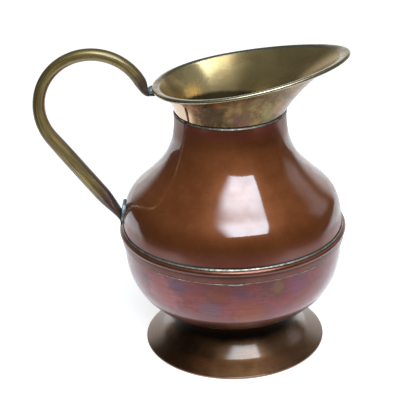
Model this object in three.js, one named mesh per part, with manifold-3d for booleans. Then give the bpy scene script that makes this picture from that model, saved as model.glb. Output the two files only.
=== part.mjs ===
// Copper and brass table jug: a copper body raised in two halves and joined at the belly,
// a flared copper foot, a brass collar drawn out into a pouring lip, and a bent brass tube handle.
// Millimetres, +Z up. The jug stands on z = 0, its mirror plane is y = 0,
// the spout reaches towards +X and the handle towards -X.
import * as THREE from 'three';
import { mergeVertices } from 'three/addons/utils/BufferGeometryUtils.js';
import Module from 'manifold-3d';

const wasm = await Module();
wasm.setup();

// Sheet and joints
const copperSheet = 0.8;
const collarSheet = 0.6;
const jointGap = 0.3;

// Body
const bowlBottomHeight = 26.8;
const bowlDepth = 63;
const bowlSideFullness = 0.62;
const bowlBaseFullness = 0.73;
const bellyRadius = 79.7;
const seamAboveBelly = 1.4;
const shoulderRadius = 58.1;
const shoulderAboveBelly = 44.7;
const shoulderLean = THREE.MathUtils.degToRad(43.8);
const neckRadius = 39.8;
const neckAboveShoulder = 45.5;
// How firmly the body's S line keeps its direction at its ends and on either side of the shoulder.
const bellyPull = 0.66;
const shoulderPullBelow = 0.45;
const shoulderPullAbove = 0.18;
const neckPull = 0.56;
const neckLipFlare = 0.7;
const neckLipHeight = 3;

// Foot
const footRadius = 67;
const footThroatRadius = 42;
const footSheet = 0.9;
const footEdgeHeight = 1.3;
const footRestWidth = 2;
const footFlareAngle = THREE.MathUtils.degToRad(25);
const footFlareRun = 14;
const footThroatPull = 0.5;
const footEdgeChamfer = 0.6;
const footRestChamfer = 0.5;

// Belly band
const bandStripHeight = 5.3;
const bandBeadRadius = 2.3;
const bandSheet = 1;
const bandEdgeChamfer = 0.3;
const beadProud = 0.2;
const beadAboveSeam = 1;
const beadFootDepth = 0.5;

// Collar and its rolled rim
const spigotDepth = 6;
const rimSpoutReach = 83.8;
const rimBackReach = 54.3;
const rimHalfWidth = 50.2;
const rimNarrowing = 8.8;
const rimAboveNeck = 27;
const rimTilt = THREE.MathUtils.degToRad(8.5);
const rimSpoutRise = 2.5;
const collarFlare = 0.45;
const lipWidthAtSides = 2.8;
const lipWidthAtEnds = 4.6;
const lipBend = 0.6;
const rollRadius = 1.4;
const collarShoulder = 0.6;

// Handle
const handleLoopRadius = 38.4;
const handleLoopBehindRim = 42;
const handleLoopAboveNeck = 5;
const handleLoopStart = THREE.MathUtils.degToRad(20);
const handleLoopEnd = THREE.MathUtils.degToRad(217);
const handleUpperRadius = 4.4;
const handleLowerRadius = 5.6;
const handleWall = 0.8;
const handlePinchGap = 0.3;
const handleSwell = [0.5, 0.73];
const handleUpperPinch = 12;
const handleLowerPinch = 19;
const handlePinchEase = 1.5;
const handleBendRun = 2.6;
const upperTabTrim = 0.3;
const lowerTabLength = 1.7;
const tabBelowRim = 2.7;

// Solder: fillets round the jug, and two pools at the handle's ends
const solderLeg = 1.1;
const footSolderLeg = 1.4;
const neckSolderHeight = 1.4;
const neckSolderLean = 0.9;
const lowerPoolHeight = 16;
const lowerPoolHalfWidth = 9.6;
const lowerPoolSkin = 1.9;
const upperPoolHalfWidth = 5;
const upperPoolReach = 3.4;
const upperPoolDepth = 3.2;

// Fineness: the handle's steps are those of each stretch of its line, from the top tab down,
// and the loop has three stretches, so that a step falls on its top and one on its back
const turnSteps = 40;
const tubeSteps = 14;
const bowlSteps = 11;
const bowlStepCrowding = 1.25;
const bodySteps = [9, 6];
const flareSteps = 10;
const poolSteps = [14, 10];
const handleSteps = [3, 3, 6, 7, 3, 8, 4, 1];

const copper = { color: 0x7a3b22, roughness: 0.28, metalness: 1 };
const agedCopper = { color: 0x6e2f2c, roughness: 0.34, metalness: 1 };
const brass = { color: 0x8f7b3e, roughness: 0.32, metalness: 1 };
const solder = { color: 0x8c948f, roughness: 0.5, metalness: 0.9 };

const V2 = (x, y) => new THREE.Vector2(x, y);

// Heights above the floor, each piece standing on the one below it
const bellyHeight = bowlBottomHeight + bowlDepth;
const seamHeight = bellyHeight + seamAboveBelly;
const shoulderHeight = bellyHeight + shoulderAboveBelly;
const neckHeight = shoulderHeight + neckAboveShoulder;
const rimHeight = neckHeight + rimAboveNeck;

// A section given as radius and height, turned about the jug's axis, on which it starts and ends.
function turn(section) {
  return new THREE.LatheGeometry(section, turnSteps).rotateX(Math.PI / 2);
}

// The same for a section that stays off the axis and closes on itself.
function turnRing(section) {
  return turn([...section, section[0]]);
}

// A ring whose section changes round the turn: the section at angle 0 is turned,
// and then every meridian is moved to the section of its own angle.
function turnVarying(sectionAt) {
  const first = sectionAt(0).map((p) => V2(p.x, p.z));
  const geometry = new THREE.LatheGeometry([...first, first[0]], turnSteps);
  const position = geometry.getAttribute('position');
  const columns = first.length + 1;
  for (let i = 0; i <= turnSteps; i += 1) {
    const section = sectionAt(((i % turnSteps) / turnSteps) * 2 * Math.PI);
    for (let j = 0; j < columns; j += 1) {
      const p = section[j % first.length];
      position.setXYZ(i * columns + j, p.x, p.y, p.z);
    }
  }
  geometry.computeVertexNormals();
  return geometry;
}

// The same line moved sideways by a distance, to its left seen along its run.
function offsetLine(points, distance) {
  return points.map((p, i) => {
    const before = points[Math.max(i - 1, 0)];
    const after = points[Math.min(i + 1, points.length - 1)];
    const along = after.clone().sub(before).normalize();
    return V2(p.x - along.y * distance, p.y + along.x * distance);
  });
}

// Bowl: the outside follows a superellipse from the belly down to the middle of the base.
function bowlPoint(angle) {
  return V2(
    bellyRadius * Math.cos(angle) ** bowlSideFullness,
    bellyHeight - bowlDepth * Math.sin(angle) ** bowlBaseFullness,
  );
}

function bowlHeightAt(radius) {
  const cosine = (radius / bellyRadius) ** (1 / bowlSideFullness);
  return bowlPoint(Math.acos(cosine)).y;
}

// The points along the outside crowd towards the belly, where the bowl turns in fastest.
function lowerBowl() {
  const brim = seamHeight - jointGap / 2;
  const outside = [V2(bellyRadius, brim)];
  for (let i = 0; i < bowlSteps; i += 1) {
    outside.push(bowlPoint((i / bowlSteps) ** bowlStepCrowding * (Math.PI / 2)));
  }
  const inside = offsetLine(outside, -copperSheet);
  inside[0].y = brim;
  return turn([
    V2(0, bowlBottomHeight),
    ...outside.reverse(),
    ...inside,
    V2(0, bowlBottomHeight + copperSheet),
  ]);
}

// Upper body: an S line of two cubics that meet on the shoulder.
function upperBodyLine() {
  const lean = V2(-Math.sin(shoulderLean), Math.cos(shoulderLean));
  const shoulder = V2(shoulderRadius, shoulderHeight);
  const seam = V2(bellyRadius, seamHeight + jointGap / 2);
  const neck = V2(neckRadius, neckHeight - neckLipHeight);
  const lower = new THREE.CubicBezierCurve(
    seam,
    V2(bellyRadius, seam.y + shoulderAboveBelly * bellyPull),
    shoulder.clone().addScaledVector(lean, -shoulderAboveBelly * shoulderPullBelow),
    shoulder,
  );
  const upper = new THREE.CubicBezierCurve(
    shoulder,
    shoulder.clone().addScaledVector(lean, neckAboveShoulder * shoulderPullAbove),
    V2(neckRadius, neck.y - neckAboveShoulder * neckPull),
    neck,
  );
  return [...lower.getPoints(bodySteps[0]), ...upper.getPoints(bodySteps[1]).slice(1)];
}

function upperBody() {
  const line = upperBodyLine();
  const lip = V2(neckRadius + neckLipFlare, neckHeight);
  const outside = [...line, lip];
  const inside = offsetLine(line, copperSheet);
  inside[0].y = seamHeight + jointGap / 2;
  const lipInside = V2(lip.x - copperSheet, neckHeight);
  return turnRing([...outside, lipInside, ...inside.reverse()]);
}

// The space that the body fills, grown by a margin, for seating solder against it.
function bodyRoom(margin) {
  const line = offsetLine(upperBodyLine(), -margin);
  return turn([
    V2(0, bellyHeight),
    V2(bellyRadius + margin, bellyHeight),
    ...line,
    V2(0, line[line.length - 1].y),
  ]);
}

// Foot: a trumpet flare with a thick turned edge that the jug stands on.
function foot() {
  const top = bowlHeightAt(footThroatRadius - footSheet) - jointGap;
  const edge = V2(footRadius - footEdgeChamfer, footEdgeHeight + footEdgeChamfer);
  const flareRun = V2(-Math.cos(footFlareAngle), Math.sin(footFlareAngle));
  const flare = new THREE.CubicBezierCurve(
    edge,
    edge.clone().addScaledVector(flareRun, footFlareRun),
    V2(footThroatRadius, top * footThroatPull),
    V2(footThroatRadius, top),
  );
  const outside = flare.getPoints(flareSteps);
  const inside = offsetLine(outside, footSheet);
  inside[inside.length - 1].y = top;
  const restEdge = footRadius - footRestChamfer;
  return turnRing([
    V2(footRadius, footEdgeHeight),
    ...outside,
    ...inside.reverse(),
    V2(restEdge - footRestWidth, 0),
    V2(restEdge, 0),
    V2(footRadius, footRestChamfer),
  ]);
}

// Belly band: a flat strip over the seam with a round bead swaged along its top edge.
const bandInside = bellyRadius + jointGap;
const beadCentre = V2(bandInside + beadProud, seamHeight + beadAboveSeam);
const bandBottom = beadCentre.y - bandBeadRadius + beadFootDepth - bandStripHeight;

// Where the solder fillet on top of the bead ends.
const filletTop = beadCentre.y + bandBeadRadius + jointGap + solderLeg;

function bandBeadTop(radius) {
  const across = radius - beadCentre.x;
  return beadCentre.y + Math.sqrt(Math.max(bandBeadRadius ** 2 - across ** 2, 0));
}

function bellyBand() {
  const section = [
    V2(bandInside, bandBottom),
    V2(bandInside + bandSheet, bandBottom + bandEdgeChamfer),
  ];
  const start = -Math.acos((bandSheet - beadProud) / bandBeadRadius);
  const lower = [1, 2 / 3, 1 / 3].map((share) => share * start);
  const upper = [0, 1 / 3, 2 / 3, 1].map((share) => share * (Math.PI / 2));
  for (const angle of [...lower, ...upper]) {
    section.push(V2(
      beadCentre.x + bandBeadRadius * Math.cos(angle),
      beadCentre.y + bandBeadRadius * Math.sin(angle),
    ));
  }
  section.push(V2(bandInside, section[section.length - 1].y));
  const hollow = bandBeadRadius - bandSheet;
  for (let i = 0; i <= 4; i += 1) {
    const angle = Math.PI / 2 - (i / 4) * Math.PI;
    section.push(V2(bandInside + hollow * Math.cos(angle), beadCentre.y + hollow * Math.sin(angle)));
  }
  return turnRing(section);
}

// Rim of the collar: an egg in plan, blunt at the handle and drawn out at the spout.
function rimOutline(angle) {
  const middle = (rimSpoutReach - rimBackReach) / 2;
  const half = (rimSpoutReach + rimBackReach) / 2;
  const width = rimHalfWidth - rimNarrowing * Math.cos(angle);
  return V2(middle + half * Math.cos(angle), width * Math.sin(angle));
}

function rimOutward(angle) {
  const step = 0.001;
  const along = rimOutline(angle + step).sub(rimOutline(angle - step)).normalize();
  return V2(along.y, -along.x);
}

// A point of the rim's section: out is measured from the outer edge, up from the top of the rim.
function rimPoint(angle, out, up) {
  const plan = rimOutline(angle).addScaledVector(rimOutward(angle), out);
  const slope = Math.tan(rimTilt) * plan.x;
  const sweep = rimSpoutRise * (plan.x / rimSpoutReach) ** 2;
  return new THREE.Vector3(plan.x, plan.y, rimHeight + slope + sweep + up);
}

function lipWidth(angle) {
  return lipWidthAtSides + (lipWidthAtEnds - lipWidthAtSides) * Math.cos(angle) ** 2;
}

const spigotRadius = neckRadius - copperSheet - jointGap - collarSheet / 2;
const collarStart = neckHeight + collarShoulder;

// The middle of the collar's sheet, from the neck at 0 to the lip at 1.
function collarMiddle(angle, share) {
  const top = rimPoint(angle, -lipWidth(angle), -collarSheet / 2);
  const spread = (1 - collarFlare) * share + collarFlare * share ** 2;
  const startX = spigotRadius * Math.cos(angle);
  const startY = spigotRadius * Math.sin(angle);
  return new THREE.Vector3(
    startX + (top.x - startX) * spread,
    startY + (top.y - startY) * spread,
    collarStart + (top.z - collarStart) * share,
  );
}

function collarSide(angle, share, distance) {
  const step = 0.001;
  const round = collarMiddle(angle + step, share).sub(collarMiddle(angle - step, share));
  const rise = collarMiddle(angle, share + step).sub(collarMiddle(angle, share - step));
  const out = round.cross(rise).normalize();
  return collarMiddle(angle, share).addScaledVector(out, distance);
}

function spigotPoint(angle, distance, height) {
  const radius = spigotRadius + distance;
  return new THREE.Vector3(radius * Math.cos(angle), radius * Math.sin(angle), height);
}

const wallShares = [0.2, 0.4, 0.6, 0.8, 0.94];
const rollAngles = [90, 45, 0, -45, -90, -135].map(THREE.MathUtils.degToRad);

function rollPoint(angle, turnAngle, radius) {
  return rimPoint(
    angle,
    -rollRadius + radius * Math.cos(turnAngle),
    -rollRadius + radius * Math.sin(turnAngle),
  );
}

function collarSection(angle) {
  const half = collarSheet / 2;
  const lip = lipWidth(angle);
  return [
    spigotPoint(angle, half, neckHeight - spigotDepth),
    spigotPoint(angle, half, collarStart),
    ...wallShares.map((share) => collarSide(angle, share, half)),
    rimPoint(angle, -lip + lipBend, -collarSheet),
    ...rollAngles.map((a) => rollPoint(angle, a, rollRadius - collarSheet)),
    ...[...rollAngles].reverse().map((a) => rollPoint(angle, a, rollRadius)),
    rimPoint(angle, -lip + lipBend, 0),
    ...[...wallShares].reverse().map((share) => collarSide(angle, share, -half)),
    spigotPoint(angle, -half, collarStart),
    spigotPoint(angle, -half, neckHeight - spigotDepth),
  ];
}

// The space that the collar and its rolled rim fill, grown by a margin.
function collarRoom(margin) {
  const half = collarSheet / 2;
  return turnVarying((angle) => [
    spigotPoint(angle, half + margin, collarStart),
    ...wallShares.map((share) => collarSide(angle, share, half + margin)),
    ...[...rollAngles].reverse().map((a) => rollPoint(angle, a, rollRadius + margin)),
    ...[...wallShares].reverse().map((share) => collarSide(angle, share, -half - margin)),
    spigotPoint(angle, -half - margin, collarStart),
  ]);
}

// The wire that the rim is rolled round, with five sides.
function rimWire() {
  const wireRadius = rollRadius - collarSheet - jointGap;
  const sides = [0, 1, 2, 3, 4].map((side) => (side / 5) * 2 * Math.PI);
  return turnVarying((angle) => sides.map((side) => rollPoint(angle, side, wireRadius)));
}

// Handle: its middle line in the mirror plane, as a path of x and z.
const tabHalf = handleWall + handlePinchGap / 2;
const loopCentre = V2(-rimBackReach - handleLoopBehindRim, neckHeight + handleLoopAboveNeck);

function loopPoint(angle) {
  return V2(
    loopCentre.x + handleLoopRadius * Math.cos(angle),
    loopCentre.y + handleLoopRadius * Math.sin(angle),
  );
}

// The upper tab lies level below the rolled rim and ends against the collar's wall.
function upperTabTip() {
  const rimBottom = rimPoint(Math.PI, -rollRadius, -2 * rollRadius);
  const height = rimBottom.z - tabBelowRim - tabHalf;
  const wallTop = collarMiddle(Math.PI, 1).z;
  const share = (height + tabHalf - collarStart) / (wallTop - collarStart);
  return V2(collarSide(Math.PI, share, collarSheet / 2 + jointGap).x, height);
}

function handlePath() {
  const path = new THREE.CurvePath();
  const tip = upperTabTip();
  const upperTabHeight = tip.y;
  const loopStart = loopPoint(handleLoopStart);
  const startRun = V2(-Math.sin(handleLoopStart), Math.cos(handleLoopStart));
  const upperCorner = loopStart.clone()
    .addScaledVector(startRun, -(loopStart.y - upperTabHeight) / startRun.y);
  const upperBend = upperCorner.clone().add(V2(handleBendRun, 0));
  path.add(new THREE.LineCurve(tip, upperBend));
  path.add(new THREE.QuadraticBezierCurve(upperBend, upperCorner, loopStart));
  const loopStops = [handleLoopStart, Math.PI / 2, Math.PI, handleLoopEnd];
  loopStops.slice(1).forEach((stop, i) => path.add(new THREE.ArcCurve(
    loopCentre.x, loopCentre.y, handleLoopRadius, loopStops[i], stop, false,
  )));
  const legStart = loopPoint(handleLoopEnd);
  const legRun = V2(-Math.sin(handleLoopEnd), Math.cos(handleLoopEnd));
  const tabX = -(bellyRadius + jointGap + tabHalf);
  const lowerCorner = legStart.clone().addScaledVector(legRun, (tabX - legStart.x) / legRun.x);
  const legEnd = lowerCorner.clone().addScaledVector(legRun, -handleLowerRadius);
  const tabEnd = V2(tabX, filletTop + jointGap);
  const tabStart = V2(tabX, (lowerCorner.y + tabEnd.y) / 2);
  path.add(new THREE.LineCurve(legStart, legEnd));
  path.add(new THREE.QuadraticBezierCurve(legEnd, lowerCorner, tabStart));
  path.add(new THREE.LineCurve(tabStart, tabEnd));
  return path;
}

const upperTabLength = upperTabTip().x - loopPoint(handleLoopStart).x - handleBendRun;

// How far the tube has opened from a pinched tab to its round, from 0 to 1.
function opened(distance, pinchLength) {
  const share = Math.min(Math.max(distance, 0) / pinchLength, 1);
  return 1 - (1 - share) ** handlePinchEase;
}

// The tube keeps its girth where it is pinched, so it spreads sideways there,
// and the upper tab is trimmed narrower at its sides.
function handleStation(at, along, distance, length) {
  const [swellStart, swellEnd] = handleSwell;
  const swell = THREE.MathUtils.smoothstep(distance / length, swellStart, swellEnd);
  const round = THREE.MathUtils.lerp(handleUpperRadius, handleLowerRadius, swell);
  const upper = opened(distance - upperTabLength, handleUpperPinch);
  const lower = opened(length - distance - lowerTabLength, handleLowerPinch);
  const half = THREE.MathUtils.lerp(tabHalf, round, Math.min(upper, lower));
  const trim = 1 - upperTabTrim * (1 - upper);
  const wide = Math.sqrt(2 * round ** 2 - half ** 2) * trim;
  return { at, side: V2(along.y, -along.x), half, wide };
}

function handleStations() {
  const path = handlePath();
  const length = path.getLength();
  const stations = [];
  let before = 0;
  path.curves.forEach((curve, c) => {
    const count = handleSteps[c];
    for (let i = c === 0 ? 0 : 1; i <= count; i += 1) {
      const share = i / count;
      const distance = before + share * curve.getLength();
      stations.push(
        handleStation(curve.getPointAt(share), curve.getTangentAt(share), distance, length),
      );
    }
    before += curve.getLength();
  });
  return stations;
}

// A straight turned tube whose rings are then moved to their stations along the middle line.
function tubeThrough(rings) {
  const geometry = new THREE.LatheGeometry(rings.map((ring, i) => V2(ring.half, i)), tubeSteps);
  const position = geometry.getAttribute('position');
  for (let i = 0; i <= tubeSteps; i += 1) {
    const angle = ((i % tubeSteps) / tubeSteps) * 2 * Math.PI;
    rings.forEach((ring, j) => {
      const across = ring.half * Math.cos(angle);
      position.setXYZ(
        i * rings.length + j,
        ring.at.x + ring.side.x * across,
        ring.wide * Math.sin(angle),
        ring.at.y + ring.side.y * across,
      );
    });
  }
  geometry.computeVertexNormals();
  return geometry;
}

function grown(stations, margin) {
  return stations.map((s) => ({ ...s, half: s.half + margin, wide: s.wide + margin }));
}

const handleLine = handleStations();

function handle() {
  const bore = grown(handleLine, -handleWall).reverse();
  return tubeThrough([...handleLine, ...bore, handleLine[0]]);
}

// The space that the handle fills, grown by a margin and closed at both ends.
function handleRoom(margin) {
  const rings = grown(handleLine, margin);
  const closed = (ring) => ({ ...ring, half: 0, wide: 0 });
  return tubeThrough([closed(rings[0]), ...rings, closed(rings[rings.length - 1])]);
}

// Solder fillets that run round the jug, each in the corner of the two pieces that it joins.
function neckSolder() {
  const inner = spigotRadius + collarSheet / 2 + jointGap;
  const base = neckHeight + jointGap;
  return turnRing([
    V2(inner, base),
    V2(neckRadius + neckLipFlare, base),
    V2(inner + neckSolderLean, base + neckSolderHeight),
  ]);
}

function bellySolderUpper() {
  const inner = bellyRadius + jointGap;
  const outer = inner + solderLeg;
  const base = bandBeadTop(inner) + jointGap;
  return turnRing([
    V2(inner, base),
    V2(outer, bandBeadTop(outer) + jointGap),
    V2(inner, base + solderLeg),
  ]);
}

function bellySolderLower() {
  const inner = bellyRadius + jointGap;
  const top = bandBottom - jointGap;
  return turnRing([
    V2(inner, top - solderLeg),
    V2(inner + solderLeg, top),
    V2(inner, top),
  ]);
}

function footSolder() {
  const inner = footThroatRadius + jointGap;
  const outer = inner + footSolderLeg;
  const top = bowlHeightAt(inner) - jointGap;
  return turnRing([
    V2(inner, top - footSolderLeg),
    V2(outer, bowlHeightAt(outer) - jointGap),
    V2(inner, top),
  ]);
}

function toSolid(geometry) {
  const plain = geometry.clone();
  plain.deleteAttribute('normal');
  plain.deleteAttribute('uv');
  const merged = mergeVertices(plain, 1e-4);
  return new wasm.Manifold(new wasm.Mesh({
    numProp: 3,
    vertProperties: new Float32Array(merged.getAttribute('position').array),
    triVerts: new Uint32Array(merged.index.array),
  }));
}

function toGeometry(solid) {
  const mesh = solid.getMesh();
  const geometry = new THREE.BufferGeometry();
  geometry.setAttribute('position', new THREE.BufferAttribute(mesh.vertProperties, 3));
  geometry.setIndex(new THREE.BufferAttribute(mesh.triVerts, 1));
  geometry.computeVertexNormals();
  return geometry;
}

function pool(centre, reach, halfWidth, depth) {
  return toSolid(new THREE.SphereGeometry(1, ...poolSteps)
    .scale(reach, halfWidth, depth)
    .translate(centre.x, 0, centre.y));
}

// Solder that fills the corner above the lower tab and runs down beside it,
// down to the fillet that lies on the bead. It is as thick as the skin that it leaves on the body.
function lowerHandleSolder() {
  const depth = lowerPoolHeight / 2 + solderLeg;
  const beadEdge = bellyRadius + 2 * bandBeadRadius;
  const floor = filletTop + jointGap;
  const beadRoom = turn([
    V2(0, bellyHeight),
    V2(beadEdge, bellyHeight),
    V2(beadEdge, floor),
    V2(0, floor),
  ]);
  return toGeometry(
    pool(V2(-bellyRadius, filletTop + lowerPoolHeight / 2), depth, lowerPoolHalfWidth, depth)
      .intersect(toSolid(bodyRoom(lowerPoolSkin)))
      .subtract(toSolid(bodyRoom(jointGap)))
      .subtract(toSolid(beadRoom))
      .subtract(toSolid(handleRoom(jointGap))),
  );
}

// Solder between the upper tab and the underside of the rolled rim.
function upperHandleSolder() {
  const rim = rimPoint(Math.PI, 0, -2 * rollRadius);
  const centre = V2(rim.x, rim.z - tabBelowRim / 4);
  return toGeometry(
    pool(centre, upperPoolReach, upperPoolHalfWidth, upperPoolDepth)
      .subtract(toSolid(collarRoom(jointGap)))
      .subtract(toSolid(handleRoom(jointGap))),
  );
}

const jug = new THREE.Group();
jug.name = 'copper_jug';

function add(name, geometry, look) {
  const mesh = new THREE.Mesh(geometry, new THREE.MeshStandardMaterial(look));
  mesh.name = name;
  jug.add(mesh);
}

add('foot', foot(), copper);
add('lower_bowl', lowerBowl(), agedCopper);
add('upper_body', upperBody(), copper);
add('belly_band', bellyBand(), agedCopper);
add('spout_collar', turnVarying(collarSection), brass);
add('rim_wire', rimWire(), copper);
add('handle', handle(), brass);
add('neck_solder', neckSolder(), solder);
add('belly_solder_upper', bellySolderUpper(), solder);
add('belly_solder_lower', bellySolderLower(), solder);
add('foot_solder', footSolder(), solder);
add('handle_solder_upper', upperHandleSolder(), solder);
add('handle_solder_lower', lowerHandleSolder(), solder);

// The origin lies on the floor under the middle of the jug's overall length.
const overall = new THREE.Box3().setFromObject(jug);
for (const mesh of jug.children) {
  mesh.position.x = -(overall.min.x + overall.max.x) / 2;
}

export default jug;
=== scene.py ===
# %% [markdown]
# A copper table jug with a brass collar and a brass handle. Each cell makes one thing:
# first the sizes, then the pieces, then their finishes, and last the studio around them.
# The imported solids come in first. They say where every piece stands, and they stay as they are.

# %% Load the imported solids
import math
import bpy
import bmesh
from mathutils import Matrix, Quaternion, Vector, noise
from mathutils.geometry import interpolate_bezier


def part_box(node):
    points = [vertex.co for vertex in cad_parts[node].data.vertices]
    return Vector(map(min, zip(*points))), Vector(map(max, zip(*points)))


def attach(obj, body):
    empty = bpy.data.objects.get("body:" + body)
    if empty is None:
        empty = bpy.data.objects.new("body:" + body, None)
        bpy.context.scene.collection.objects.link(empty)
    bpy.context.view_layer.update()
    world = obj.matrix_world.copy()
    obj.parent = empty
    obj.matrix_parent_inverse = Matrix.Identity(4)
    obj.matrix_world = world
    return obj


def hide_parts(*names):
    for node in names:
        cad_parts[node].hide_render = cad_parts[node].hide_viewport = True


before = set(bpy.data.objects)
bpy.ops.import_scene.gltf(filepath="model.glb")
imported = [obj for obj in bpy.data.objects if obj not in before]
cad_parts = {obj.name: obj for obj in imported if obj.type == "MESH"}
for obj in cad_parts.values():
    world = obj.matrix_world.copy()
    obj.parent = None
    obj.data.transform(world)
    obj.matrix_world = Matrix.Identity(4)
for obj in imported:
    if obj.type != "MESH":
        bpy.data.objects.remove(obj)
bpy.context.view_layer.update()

print("solids:", sorted(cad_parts))

# %% [markdown]
# The jug is turned and raised round one upright axis, but the handle reaches further back than
# the spout reaches forward, so that axis isn't in the middle of the whole. The foot is round, and
# the middle of its box gives the axis. Lengths are in metres, and angles in radians.

# %% Axis and sizes
foot_low, foot_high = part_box("foot")
axis_x = (foot_low.x + foot_high.x) / 2
foot_radius = (foot_high.x - foot_low.x) / 2
bowl_low, bowl_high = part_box("lower_bowl")
belly_radius = (bowl_high.x - bowl_low.x) / 2
bowl_bottom = bowl_low.z
bowl_depth = 0.063
belly_height = bowl_bottom + bowl_depth
seam_above_belly = 0.0014
seam_height = belly_height + seam_above_belly
shoulder_above_belly = 0.0447
shoulder_height = belly_height + shoulder_above_belly
shoulder_radius = 0.0581
shoulder_lean = math.radians(43.8)
neck_radius = 0.0398
neck_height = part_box("upper_body")[1].z
sheet = 0.0008
gap = 0.0003
print("axis at x = %.4f m, belly radius %.4f m, neck at %.4f m" % (axis_x, belly_radius, neck_height))

# %% [markdown]
# Every piece here is a skin over a row of rings: a ring is a closed loop of points, and each ring
# is joined to the next. Blender can also turn a profile with its Screw modifier, but the collar
# and the handle aren't round about the axis, and one helper for all of them keeps the surface
# fine and even. Corners that the metal really has stay sharp, and the rest is shaded smooth.

# %% Helper: a skin over rings
weld_distance = 0.000001


def skin(name, rings, closed=True, crease=40):
    count = len(rings[0])
    points = [p for ring in rings for p in ring]
    faces = []
    for i in range(len(rings) - (0 if closed else 1)):
        j = (i + 1) % len(rings)
        for k in range(count):
            m = (k + 1) % count
            faces.append((i * count + k, i * count + m, j * count + m, j * count + k))
    mesh = bpy.data.meshes.new(name)
    mesh.from_pydata(points, [], faces)
    work = bmesh.new()
    work.from_mesh(mesh)
    bmesh.ops.remove_doubles(work, verts=work.verts, dist=weld_distance)
    bmesh.ops.recalc_face_normals(work, faces=work.faces)
    work.to_mesh(mesh)
    work.free()
    mesh.shade_smooth()
    mesh.set_sharp_from_angle(angle=math.radians(crease))
    piece = bpy.data.objects.new(name, mesh)
    bpy.context.scene.collection.objects.link(piece)
    print(name, len(mesh.polygons), "faces")
    return piece


# %% [markdown]
# A turned piece is drawn as half a section: points of radius and height. Turning it makes one
# ring for each point. Sheet that was raised and planished by hand is never quite true, and
# a mirror finish shows that at once, so the radius may swing by a few hundredths of a
# millimetre, after smooth noise. Noise in space, unlike noise along the angle, leaves no seam. It
# leans inwards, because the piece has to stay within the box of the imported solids.

# %% Helper: a turned piece
turn_steps = 256
inward_lean = 0.5
least_radius = 0.001


def turned(name, section, closed=True, waver=0.0, wave_length=0.016):
    rings = []
    for radius, height in section:
        ring = []
        for k in range(turn_steps):
            angle = 2 * math.pi * k / turn_steps
            place = Vector((radius * math.cos(angle), radius * math.sin(angle), height))
            swing = waver * (noise.noise(place / wave_length) - inward_lean)
            grow = 1 + swing / max(radius, least_radius)
            ring.append((axis_x + place.x * grow, place.y * grow, height))
        rings.append(ring)
    return skin(name, rings, closed)


# %% [markdown]
# Sections are drawn with smooth curves and with short arcs for the corners, because a bend in
# sheet metal is never sharp. The inner face of a sheet is its outer line moved sideways. The
# Solidify modifier could thicken a sheet too, but it leaves no say in how the sheet's edge ends.

# %% Helpers: lines of a section
def bezier(start, pull_start, pull_end, end, count):
    knots = [Vector((p[0], p[1], 0)) for p in (start, pull_start, pull_end, end)]
    return [(p.x, p.y) for p in interpolate_bezier(*knots, count)]


def arc(centre, radius, start, end, count):
    line = []
    for i in range(count + 1):
        angle = start + (end - start) * i / count
        line.append((centre[0] + radius * math.cos(angle), centre[1] + radius * math.sin(angle)))
    return line


def moved_sideways(line, distance):
    moved = []
    for i, (x, y) in enumerate(line):
        before = Vector(line[max(i - 1, 0)])
        after = Vector(line[min(i + 1, len(line) - 1)])
        run = (after - before).normalized()
        moved.append((x - run.y * distance, y + run.x * distance))
    return moved


# %% [markdown]
# The lower half of the body is a deep bowl, raised from one disc of copper. Seen from the side it
# is a superellipse: fuller than a circle at the belly, and flatter at the base. It could also be
# traced point by point, but the formula needs only a width, a depth and two powers, and it tells
# the height of the wall at any radius, which the foot needs. Equal steps of the angle would lie
# far apart near the belly, so the steps start small there and grow.

# %% Bowl, the lower half of the body
belly_power = 0.62
base_power = 0.73
crowding = 1.4
bowl_steps = 90


def bowl_point(angle):
    return (
        belly_radius * max(math.cos(angle), 0) ** belly_power,
        belly_height - bowl_depth * math.sin(angle) ** base_power,
    )


def bowl_height_at(radius):
    return bowl_point(math.acos((radius / belly_radius) ** (1 / belly_power)))[1]


bowl_angles = [(i / bowl_steps) ** crowding * math.pi / 2 for i in range(bowl_steps)]
bowl_line = [(belly_radius, seam_height - gap / 2)]
bowl_line += [bowl_point(angle) for angle in bowl_angles]
bowl_line.append((0.0, bowl_bottom))
bowl_inside = moved_sideways(bowl_line, -sheet)
bowl_inside[0] = (bowl_inside[0][0], seam_height - gap / 2)
bowl_inside[-1] = (0.0, bowl_bottom + sheet)
bowl_section = bowl_line + bowl_inside[::-1]
bowl = turned("bowl", bowl_section, closed=False, waver=0.00006, wave_length=0.014)
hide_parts("lower_bowl")

# %% [markdown]
# The upper half runs in one S line from the belly over the shoulder to the neck, and two Bezier
# curves that share their direction on the shoulder draw it. One curve alone would be stiffer: it
# couldn't have both the round shoulder and the long hollow of the neck. The neck ends upright,
# and the collar's spigot slips into it.

# %% Upper half of the body
belly_pull, shoulder_pull_down = 0.66, 0.45
shoulder_pull_up, neck_pull = 0.18, 0.56
neck_upright = 0.003
lip_swell = 0.0001
lean = Vector((-math.sin(shoulder_lean), math.cos(shoulder_lean)))
shoulder = Vector((shoulder_radius, shoulder_height))
rise = shoulder_height - belly_height
climb = neck_height - shoulder_height
seam_start = (belly_radius, seam_height + gap / 2)
neck_end = (neck_radius, neck_height - neck_upright)
body_line = bezier(seam_start, (belly_radius, seam_start[1] + rise * belly_pull),
                   shoulder - lean * rise * shoulder_pull_down, shoulder, 60)
body_line += bezier(shoulder, shoulder + lean * climb * shoulder_pull_up,
                    (neck_radius, neck_end[1] - climb * neck_pull), neck_end, 48)[1:]
body_inside = moved_sideways(body_line, sheet)
body_inside[0] = (body_inside[0][0], seam_start[1])
lip_radius = neck_radius + lip_swell
neck_lip = [(lip_radius, neck_height), (lip_radius - sheet, neck_height)]
body = turned("upper_half_of_body", body_line + neck_lip + body_inside[::-1], waver=0.00005)
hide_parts("upper_body")

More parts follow.
